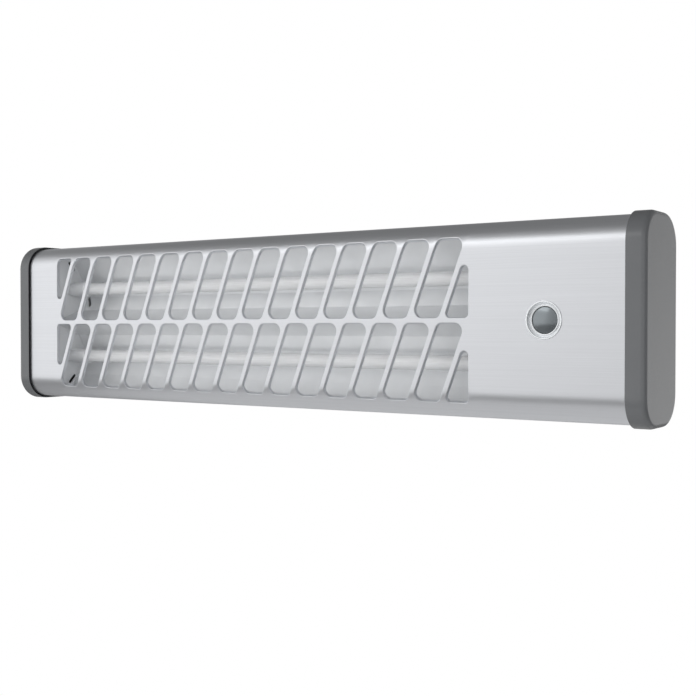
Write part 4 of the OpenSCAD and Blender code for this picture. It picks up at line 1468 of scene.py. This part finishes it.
@dataclass(frozen=True)
class PowderCoat(Finish):
    """Baked powder coat with its orange-peel surface."""

    peel: Grain = Grain(EVEN, size=620.0, share=0.5)
    peel_depth: float = 0.05

    def extra(self, shader: Shader) -> None:
        """Adds the orange peel."""
        shader.relief(shader.noise(self.peel), self.peel_depth)


@dataclass(frozen=True)
class WireSleeve(Finish):
    """Insulation braided from fine threads."""

    thread_turn: float = 0.9
    threads: float = 420.0
    thread_depth: float = 0.05

    def extra(self, shader: Shader) -> None:
        """Adds the threads as two crossing waves.

        Args:
            shader: The material's nodes.
        """
        for turn in (self.thread_turn, -self.thread_turn):
            node = shader.tree.nodes.new("ShaderNodeTexWave")
            mapping = shader.tree.nodes.new("ShaderNodeMapping")
            mapping.inputs["Rotation"].default_value = (turn, turn, turn)
            shader.join(shader.place, mapping.inputs["Vector"])
            shader.join(mapping.outputs["Vector"], node.inputs["Vector"])
            node.inputs["Scale"].default_value = self.threads
            shader.relief(node.outputs["Fac"], self.thread_depth)


class Look(Enum):
    """The finishes, named as the record's material slots."""

    BRACKET = "bracket_steel"
    ALUMINIUM = "brushed_aluminium"
    ZINC = "zinc_sheet"
    CAP = "cap_plastic"
    REFLECTOR = "bright_aluminium"
    QUARTZ = "milky_quartz"
    COIL = "resistance_wire"
    CERAMIC = "white_ceramic"
    PIN = "nickel_pin"
    CHROME = "satin_chrome"
    BUTTON = "dark_gloss_button"
    NYLON = "white_nylon"
    SPRING = "spring_wire"
    BLACK = "black_nylon"
    BRASS = "brass"
    SLEEVE_BROWN = "sleeve_brown"
    SLEEVE_RED = "sleeve_red"
    SLEEVE_GLASS = "sleeve_glass"
    SLEEVE_EARTH = "sleeve_earth"
    SCREW = "zinc_screw"


FINISHES: dict[Look, Finish] = {
    Look.BRACKET: PowderCoat("powder_coated_steel", (0.36, 0.365, 0.38), rough=0.5, tone=0.015),
    Look.ALUMINIUM: BrushedAluminium("lengthwise_brushed", (0.922, 0.929, 0.944), rough=0.36,
                                     metal=1.0, tone=0.012, gloss_drift=0.04),
    Look.ZINC: Finish("galvanised_sheet", (0.66, 0.665, 0.67), rough=0.42, metal=0.6, tone=0.05,
                      gloss_drift=0.1, slow=90.0),
    Look.CAP: SatinPlastic("grey_moulding", (0.373, 0.379, 0.387), rough=0.24, tone=0.005),
    Look.REFLECTOR: RolledSheet("bright_rolled", (0.93, 0.935, 0.94), rough=0.48, metal=0.2,
                                tone=0.015, gloss_drift=0.05),
    Look.QUARTZ: MilkyQuartz("milky_quartz_glass", (0.97, 0.975, 0.98), rough=0.4, tone=0.02),
    Look.COIL: Finish("oxidised_wire", (0.33, 0.31, 0.29), rough=0.45, metal=1.0, tone=0.06,
                      gloss_drift=0.1, slow=200.0),
    Look.CERAMIC: Finish("chalky_ceramic", (0.93, 0.935, 0.94), rough=0.4, tone=0.02, depth=0.02,
                         fine=1800.0),
    Look.PIN: Finish("nickel", (0.74, 0.72, 0.67), rough=0.3, metal=1.0, tone=0.03),
    Look.CHROME: Finish("satin_plated", (0.94, 0.95, 0.96), rough=0.25, metal=0.7, tone=0.01,
                        gloss_drift=0.03, depth=0.003),
    Look.BUTTON: PolishedPlastic("dark_polished", (0.53, 0.555, 0.57), rough=0.2, metal=0.85,
                                 tone=0.01, depth=0.002),
    Look.NYLON: SatinPlastic("white_moulding", (0.88, 0.87, 0.83), rough=0.5, tone=0.012),
    Look.SPRING: Finish("drawn_wire", (0.66, 0.66, 0.67), rough=0.3, metal=1.0, tone=0.03),
    Look.BLACK: SatinPlastic("black_moulding", (0.13, 0.13, 0.135), rough=0.45, tone=0.01),
    Look.BRASS: Finish("turned_brass", (0.80, 0.68, 0.40), rough=0.3, metal=1.0, tone=0.03),
    Look.SLEEVE_BROWN: WireSleeve("brown_sleeve", (0.40, 0.25, 0.15), rough=0.6, tone=0.02),
    Look.SLEEVE_RED: WireSleeve("red_sleeve", (0.62, 0.22, 0.19), rough=0.6, tone=0.02),
    Look.SLEEVE_GLASS: WireSleeve("glass_sleeve", (0.74, 0.72, 0.66), rough=0.7, tone=0.03),
    Look.SLEEVE_EARTH: WireSleeve("green_yellow_sleeve", (0.52, 0.62, 0.26), rough=0.6, tone=0.03),
    Look.SCREW: Finish("zinc_plated", (0.70, 0.70, 0.72), rough=0.32, metal=1.0, tone=0.04,
                       gloss_drift=0.08, slow=300.0),
}


@dataclass(frozen=True)
class Dressing:
    """A construction node's finish, and the width of the rounding on its edges."""

    node: str
    look: Look
    edge: float


class Finisher:
    """Makes each finish once and lays it on pieces."""

    SHADING_WEIGHT = 50
    JOINED_FACETS = 1e-6
    JOINED_PLANES = math.radians(0.5)
    EASED_FROM = math.radians(32)
    EDGE_SEGMENTS = 3

    def __init__(self, nodes: dict[str, bpy.types.Object]) -> None:
        """Keeps the construction model's own objects."""
        self.nodes = nodes
        self.made: dict[Look, bpy.types.Material] = {}

    def material(self, look: Look) -> bpy.types.Material:
        """The material of a finish, made when first asked for.

        Args:
            look: The finish.

        Returns:
            Its material.
        """
        if look not in self.made:
            self.made[look] = FINISHES[look].build()
        return self.made[look]

    def add(self, piece: bpy.types.Object, body: str, look: Look, *replaced: str) -> None:
        """Finishes a new piece and lets it stand for construction nodes.

        Args:
            piece: The new mesh.
            body: The body it moves with.
            look: Its finish.
            replaced: The nodes that it stands for.
        """
        piece.data.materials.append(self.material(look))
        even = piece.modifiers.new("even_shading", "WEIGHTED_NORMAL")
        even.mode = "FACE_AREA"
        even.weight = self.SHADING_WEIGHT
        even.keep_sharp = True
        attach(piece, body)
        if replaced:
            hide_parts(*replaced)
        LOG.info("made %s with %d faces", piece.name, len(piece.data.polygons))

    def dress(self, dressing: Dressing) -> None:
        """Finishes a node of the construction model and rounds its edges.

        Args:
            dressing: The node, its finish and the rounding.
        """
        piece = self.nodes[dressing.node]
        for slot in piece.material_slots:
            slot.material = self.material(dressing.look)
        weld = piece.modifiers.new("joined_facets", "WELD")
        weld.merge_threshold = self.JOINED_FACETS
        flat = piece.modifiers.new("joined_planes", "DECIMATE")
        flat.decimate_type = "DISSOLVE"
        flat.angle_limit = self.JOINED_PLANES
        bevel = piece.modifiers.new("eased_edges", "BEVEL")
        bevel.width = mm(dressing.edge)
        bevel.segments = self.EDGE_SEGMENTS
        bevel.limit_method = "ANGLE"
        bevel.angle_limit = self.EASED_FROM
        bevel.use_clamp_overlap = True
        bevel.harden_normals = True
        LOG.info("finished %s", dressing.node)


@dataclass
class Group:
    """A sub-assembly: its new pieces, and the nodes that only get a finish."""

    dressings: Sequence[Dressing] = ()

    def build(self, finisher: Finisher) -> None:
        """Builds the new pieces, then finishes the nodes.

        Args:
            finisher: Lays the finishes.
        """
        self.add_pieces(finisher)
        for dressing in self.dressings:
            finisher.dress(dressing)

    def add_pieces(self, finisher: Finisher) -> None:
        """Builds and finishes the new pieces, where there are any."""


@dataclass
class HousingGroup(Group):
    """The housing, its caps and the reflector that they enclose."""

    dressings: Sequence[Dressing] = (
        Dressing("reflector", Look.REFLECTOR, edge=0.2),
        *(Dressing(f"reflector_end_{end.label}", Look.REFLECTOR, edge=0.2) for end in End),
    )
    housing: RolledHousing = field(default_factory=RolledHousing)

    def add_pieces(self, finisher: Finisher) -> None:
        """Builds and finishes the housing and its caps.

        Args:
            finisher: Lays the finishes.
        """
        finisher.add(self.housing.build(), "heater", Look.ALUMINIUM, "housing")
        for end in End:
            finisher.add(EndCap(end).build(), "heater", Look.CAP, f"end_cap_{end.label}")


@dataclass
class HeatingGroup(Group):
    """Both heating elements with their ceramics and metal ends."""

    dressings: Sequence[Dressing] = (
        Dressing("ceramic_clips", Look.ZINC, edge=0.1),
        Dressing("element_pins", Look.PIN, edge=0.2),
        Dressing("lead_crimps", Look.PIN, edge=0.1),
    )

    def add_pieces(self, finisher: Finisher) -> None:
        """Builds and finishes the tubes, coils and ceramic ends.

        Args:
            finisher: Lays the finishes.
        """
        for row in Row:
            element = HeatingElement(row)
            finisher.add(element.build_tube(), "heater", Look.QUARTZ, f"quartz_tube_{row.label}")
            finisher.add(element.build_coil(), "heater", Look.COIL, f"heating_coil_{row.label}")
            for end in End:
                finisher.add(element.build_ceramic(end), "heater", Look.CERAMIC,
                             f"ceramic_{row.label}_{end.label}")


@dataclass
class ButtonGroup(Group):
    """The push button, its spring and the switch behind it."""

    dressings: Sequence[Dressing] = (
        Dressing("button_stem", Look.NYLON, edge=0.3),
        Dressing("bezel_nut", Look.PIN, edge=0.3),
        Dressing("switch_body", Look.BLACK, edge=0.5),
        Dressing("switch_blades", Look.BRASS, edge=0.15),
    )
    button: PushButton = field(default_factory=PushButton)
    travel: float = 2.5

    def add_pieces(self, finisher: Finisher) -> None:
        """Builds and finishes the bezel, the button and its spring.

        The spring gets its own copy of its mesh and is not shortened.

        Args:
            finisher: Lays the finishes.
        """
        finisher.add(self.button.build_bezel(), "heater", Look.CHROME, "button_bezel")
        finisher.add(self.button.build_cap(), "button", Look.BUTTON, "button_cap")
        spring = self.button.build_spring()
        finisher.add(spring, "heater", Look.SPRING, "button_spring")
        foot = (mm(self.button.x), mm(self.button.front + self.button.guide), 0.0)
        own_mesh(spring)


@dataclass
class Wire:
    """A wire's node, finish and route, as points in millimetres."""

    node: str
    look: Look
    route: Sequence[Point]


@dataclass
class Wiring(Group):
    """The wires between the elements, the switch, the cut-out and the terminals."""

    dressings: Sequence[Dressing] = (
        Dressing("thermal_cutout", Look.BLACK, edge=0.2),
        Dressing("terminal_block", Look.NYLON, edge=0.4),
        Dressing("terminal_screws", Look.BRASS, edge=0.2),
        Dressing("earth_screw", Look.BRASS, edge=0.15),
    )
    radius: float = 1.3
    sides: int = 12
    bend: float = 3.0
    bend_steps: int = 6
    left_pin: float = -265.4
    right_pin: float = 191.4
    right_plate: float = 180.0
    tube_y: float = -78.0
    tube_z: float = 29.5
    pair: float = 1.5
    rear_y: float = -55.0
    blade_y: float = -65.0
    cutout_x: float = 192.8
    cutout_lead: float = 4.0
    switch_x: float = 218.4
    switch_half: float = 12.0
    switch_pass: float = 9.6
    near_blade: float = -6.4
    far_blade: float = 6.6
    blade_z: float = 7.0
    block_x: float = 240.0
    block_left: float = 230.0
    block_y: float = -57.5
    block_z: float = 22.0
    block_foot: float = 9.0
    earth_x: float = 219.0
    earth_y: float = -53.0
    earth_z: float = -30.0
    turn: float = 6.5
    end_turn: float = 9.75
    lane: float = 3.9

    def wires(self) -> list[Wire]:
        """Lists every wire with its route.

        The turn is the room that a wire leaves before it changes direction, and the lane the
        distance from one wire to the next.

        Returns:
            The wires, from the bridge to the two on the right.
        """
        left, right, turn, lane = self.left_pin, self.right_pin, self.turn, self.lane
        y, z, back, foot = self.tube_y, self.tube_z, self.rear_y, self.block_foot
        front, rear, out = y - self.pair, y + self.pair, left - turn
        entry, drop = self.block_z - lane, -self.switch_half - lane
        blades, raised, under = self.blade_y + turn, self.earth_y - turn, y + 2 * turn
        cutout, lead, block, high = self.cutout_x, self.cutout_lead, self.block_x, self.block_y
        earth, far = self.earth_x, self.switch_x + self.far_blade
        glass = Look.SLEEVE_GLASS
        found = [
            Wire("lead_bridge", glass, [
                (left, y, z), (out, y, z), (out, front, -z), (left, front, -z)]),
            Wire("lead_return", glass, [
                (left, rear, -z), (out, rear, -z), (out, back, -turn), (left, back, 0),
                (self.right_plate + turn, back, 0),
                (self.switch_x - self.switch_pass, back, self.block_z - turn),
                (self.block_left - turn, high, entry), (self.block_left, high, entry)]),
            Wire("lead_cutout", Look.SLEEVE_RED, [
                (cutout, y, lead), (cutout + turn, y, lead), (cutout + turn, blades, 0),
                (far, blades, 0), (far, self.blade_y, 0)]),
            Wire("lead_supply", Look.SLEEVE_BROWN, [
                (cutout, y, -lead), (cutout + lane, y, -lead), (cutout + 2 * lane, under, drop),
                (block - turn, under, drop), (block + lane, high, -turn),
                (block + lane, high, foot)]),
            Wire("lead_earth", Look.SLEEVE_EARTH, [
                (earth, self.earth_y, self.earth_z), (earth + turn, self.earth_y, self.earth_z),
                (earth + turn, raised, -turn), (block - lane, raised, 0),
                (block - lane, raised, foot)])]
        out, near = right + self.end_turn, self.switch_x + self.near_blade
        behind = self.blade_y + lane
        for row in (Row.UPPER, Row.LOWER):
            up = row.value
            found.append(Wire(f"lead_{row.label}", glass, [
                (right, y, up * z), (out, y, up * z), (out, behind, up * (self.switch_half + turn)),
                (near, behind, up * self.blade_z), (near, self.blade_y, up * self.blade_z)]))
        return found

    def path(self, route: Sequence[Point]) -> np.ndarray:
        """Bends a route round at its inner corners.

        Each corner m between the points p and q, a bend's length before and after it, becomes the
        curve (1 - t)^2 p + 2 t (1 - t) m + t^2 q.

        Args:
            route: The route's points.

        Returns:
            Points of the bent route, n by 3.
        """
        points = np.asarray(route, float)
        steps = np.diff(points, axis=0)
        steps /= np.linalg.norm(steps, axis=1, keepdims=True)
        middle = points[1:-1, None]
        start, end = middle - self.bend * steps[:-1, None], middle + self.bend * steps[1:, None]
        t = np.linspace(0.0, 1.0, self.bend_steps + 1)[None, :, None]
        curve = (1 - t) ** 2 * start + 2 * t * (1 - t) * middle + t ** 2 * end
        return np.vstack([points[:1], curve.reshape(-1, 3), points[-1:]])

    def add_pieces(self, finisher: Finisher) -> None:
        """Builds and finishes the wires.

        Args:
            finisher: Lays the finishes.
        """
        for wire in self.wires():
            name = wire.node.replace("lead", "wire")
            piece = swept(self.path(wire.route), self.radius, self.sides, name)
            finisher.add(piece, "heater", wire.look, wire.node)


@dataclass
class BackGroup(Group):
    """The back cover, the cable gland and the screws."""

    dressings: Sequence[Dressing] = (
        Dressing("back_cover", Look.ZINC, edge=0.25),
        Dressing("cable_gland", Look.BLACK, edge=0.4),
        Dressing("gland_nut", Look.BLACK, edge=0.3),
        Dressing("cover_screws", Look.SCREW, edge=0.2),
        Dressing("cap_screws", Look.SCREW, edge=0.2),
        Dressing("bracket_screws", Look.SCREW, edge=0.2),
    )


@dataclass
class BracketGroup(Group):
    """The tilting wall bracket with its hinges and hand knobs."""

    dressings: Sequence[Dressing] = (
        Dressing("wall_plate", Look.BRACKET, edge=0.4),
        *(Dressing(f"hinge_bracket_{end.label}", Look.BRACKET, edge=0.4) for end in End),
        *(Dressing(f"pivot_bolt_{end.label}", Look.SCREW, edge=0.3) for end in End),
        *(Dressing(f"tilt_knob_{end.label}", Look.BLACK, edge=0.6) for end in End),
        Dressing("friction_washers", Look.BLACK, edge=0.15),
        Dressing("knob_washers", Look.SCREW, edge=0.15),
    )


@dataclass
class Lamp:
    """A soft rectangular light aimed at a point, in metres and watts."""

    name: str
    place: Point
    target: Point
    width: float
    height: float
    power: float
    mirrored: bool = False

    def build(self) -> None:
        """Makes the light, seen in mirrors or not."""
        light = bpy.data.lights.new(self.name, "AREA")
        light.shape = "RECTANGLE"
        light.size, light.size_y = self.width, self.height
        light.energy = self.power
        lamp = place_object(self.name, light)
        lamp.location = self.place
        aim = Vector(self.target) - Vector(self.place)
        lamp.rotation_euler = aim.to_track_quat("-Z", "Y").to_euler()
        lamp.visible_glossy = self.mirrored


@dataclass
class Fade:
    """Dims the surroundings where a direction's share along an aim passes from low to high."""

    aim: Point
    low: float
    high: float
    level: float

    def build(self, tree: bpy.types.NodeTree) -> bpy.types.NodeSocket:
        """Gives the factor, 1 below low and the level above high.

        Args:
            tree: Where the nodes go.

        Returns:
            The factor.
        """
        place = tree.nodes.new("ShaderNodeTexCoord")
        share = tree.nodes.new("ShaderNodeVectorMath")
        share.operation = "DOT_PRODUCT"
        share.inputs[1].default_value = self.aim
        tree.links.new(place.outputs["Generated"], share.inputs[0])
        fade = map_range(tree, share.outputs["Value"], (self.low, self.high), (1.0, self.level))
        fade.interpolation_type = "SMOOTHSTEP"
        return fade.outputs["Result"]


@dataclass
class Studio:
    """The camera, the soft lights, the pale floor and the white surroundings."""

    camera_place: Point = (0.5033, -0.7443, -0.0052)
    yaw: float = math.radians(34.253)
    pitch: float = math.radians(-1.04)
    lens: float = 56.23
    sensor: float = 36.0
    near: float = 0.05
    far: float = 50.0
    floor_z: float = -0.45
    floor_half: float = 0.62
    floor_points: int = 5
    floor_level: float = 0.64
    floor_rough: float = 0.9
    floor_gloss: float = 0.1
    floor_white: float = 1.0
    floor_white_mirrored: float = 0.22
    fades: Sequence[Fade] = (
        Fade((0.0, 0.25, 0.97), low=0.04, high=0.73, level=0.18),
        Fade((0.0, 0.0, -1.0), low=0.12, high=0.27, level=0.25),
        Fade((0.56, -0.83, 0.0), low=0.4, high=0.98, level=0.5),
        Fade((0.98, 0.17, 0.0), low=0.64, high=0.87, level=0.1),
    )
    lamps: Sequence[Lamp] = (
        Lamp("front_softbox", place=(-1.8, -2.1, -0.05), target=(-0.1, -0.08, 0.0),
             width=3.0, height=2.4, power=32.0),
        Lamp("right_softbox", place=(1.7, -1.4, 0.0), target=(-0.2, -0.08, 0.0),
             width=1.0, height=2.2, power=20.0),
        Lamp("side_softbox", place=(1.9, 0.6, 0.0), target=(0.0, -0.08, 0.0),
             width=1.0, height=1.2, power=5.0),
        Lamp("top_strip", place=(-1.0, -1.9, 1.25), target=(0.1, -0.08, 0.0),
             width=1.6, height=0.5, power=3.0, mirrored=True),
        Lamp("back_softbox", place=(0.4, 2.2, 0.7), target=(0.0, -0.08, 0.0),
             width=1.6, height=1.0, power=34.0),
        Lamp("low_strip", place=(-0.5, -1.5, -0.38), target=(-0.05, -0.08, 0.02),
             width=2.4, height=0.1, power=6.0),
    )

    def build_camera(self) -> None:
        """Places the camera at the photograph's angle."""
        data = bpy.data.cameras.new("camera")
        data.sensor_width, data.lens = self.sensor, self.lens
        data.clip_start, data.clip_end = self.near, self.far
        camera = place_object("camera", data)
        camera.location = self.camera_place
        camera.rotation_euler = (math.pi / 2 + self.pitch, 0.0, self.yaw)
        bpy.context.scene.camera = camera

    def build_floor(self) -> None:
        """Lays a plain pale floor below the heater."""
        side = np.linspace(-self.floor_half, self.floor_half, self.floor_points)
        x, y = np.meshgrid(side, side)
        grid = np.stack([x, y, np.full_like(x, self.floor_z)], axis=-1) / MM
        floor = made_of_grid("pale_floor", grid)
        shader = Shader("pale_floor_paint")
        shader.level("Base Color", (self.floor_level, self.floor_level, self.floor_level, 1.0))
        shader.level("Roughness", self.floor_rough)
        shader.level("Specular IOR Level", self.floor_gloss)
        paint = white_to_camera(shader, self.floor_white, self.floor_white_mirrored)
        floor.data.materials.append(paint)

    def build_world(self) -> None:
        """Surrounds the heater with soft light.

        The camera sees plain white. All else gets white that fades towards the ceiling, the
        ground, the room behind the camera and the right. The fades are multiplied.
        """
        world = bpy.data.worlds.new("soft_surroundings")
        bpy.context.scene.world = world
        world.use_nodes = True
        tree = world.node_tree
        around = tree.nodes["Background"]
        around.inputs["Strength"].default_value = 1.0
        level = self.fades[0].build(tree)
        for fade in self.fades[1:]:
            level = calculate(tree, "MULTIPLY", level, fade.build(tree))
        white = tree.nodes.new("ShaderNodeLightPath").outputs["Is Camera Ray"]
        tree.links.new(calculate(tree, "MAXIMUM", white, level), around.inputs["Color"])

    def build(self) -> None:
        """Builds the camera, the lights, the floor and the surroundings."""
        self.build_camera()
        self.build_floor()
        self.build_world()
        for lamp in self.lamps:
            lamp.build()


def calculate(tree: bpy.types.NodeTree, operation: str,
              *values: bpy.types.NodeSocket | float) -> bpy.types.NodeSocket:
    """Adds a sum on shader values.

    Args:
        tree: Where the node goes.
        operation: The Math node's operation.
        values: Sockets or plain numbers, in the node's order.

    Returns:
        The result.
    """
    node = tree.nodes.new("ShaderNodeMath")
    node.operation = operation
    for value, socket in zip(values, node.inputs):
        if isinstance(value, float):
            socket.default_value = value
        else:
            tree.links.new(value, socket)
    return node.outputs[0]


def seen_rays(tree: bpy.types.NodeTree, direct: float, mirrored: float) -> bpy.types.NodeSocket:
    """Gives one share for rays from the camera, one for those from mirrors or glass, or else 0.

    Args:
        tree: Where the nodes go.
        direct: The camera's share.
        mirrored: The share of mirrors and glass.

    Returns:
        The share.
    """
    path = tree.nodes.new("ShaderNodeLightPath")
    total: bpy.types.NodeSocket | float = 0.0
    for name, share in (("Is Camera Ray", direct), ("Is Glossy Ray", mirrored),
                        ("Is Transmission Ray", mirrored)):
        total = calculate(tree, "MULTIPLY_ADD", path.outputs[name], share, total)
    return total


def white_to_camera(shader: Shader, direct: float, mirrored: float) -> bpy.types.Material:
    """Lifts a backdrop's material towards plain white.

    Args:
        shader: The backdrop's material.
        direct: Share of plain white in what the camera sees; 1 hides shadows, as in the photo.
        mirrored: The same in mirrors and glass.

    Returns:
        The finished material.
    """
    tree = shader.tree
    glow = tree.nodes.new("ShaderNodeEmission")
    mix = tree.nodes.new("ShaderNodeMixShader")
    tree.links.new(seen_rays(tree, direct, mirrored), mix.inputs["Fac"])
    tree.links.new(shader.surface.outputs["BSDF"], mix.inputs[1])
    glow.inputs["Color"].default_value = (1.0, 1.0, 1.0, 1.0)
    tree.links.new(glow.outputs["Emission"], mix.inputs[2])
    tree.links.new(mix.outputs["Shader"], tree.nodes["Material Output"].inputs["Surface"])
    return shader.material


def main() -> None:
    """Builds the heater's looks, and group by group."""
    logging.basicConfig(level=logging.INFO, format="%(name)s: %(message)s")
    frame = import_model()
    bpy.context.scene.view_settings.view_transform = "Standard"
    Studio().build()
    finisher = Finisher(frame["nodes"])
    for group in (HousingGroup(), HeatingGroup(), ButtonGroup(),
                  Wiring(), BackGroup(), BracketGroup()):
        group.build(finisher)
        LOG.info("finished %s", type(group).__name__)


if __name__ == "__main__":
    main()
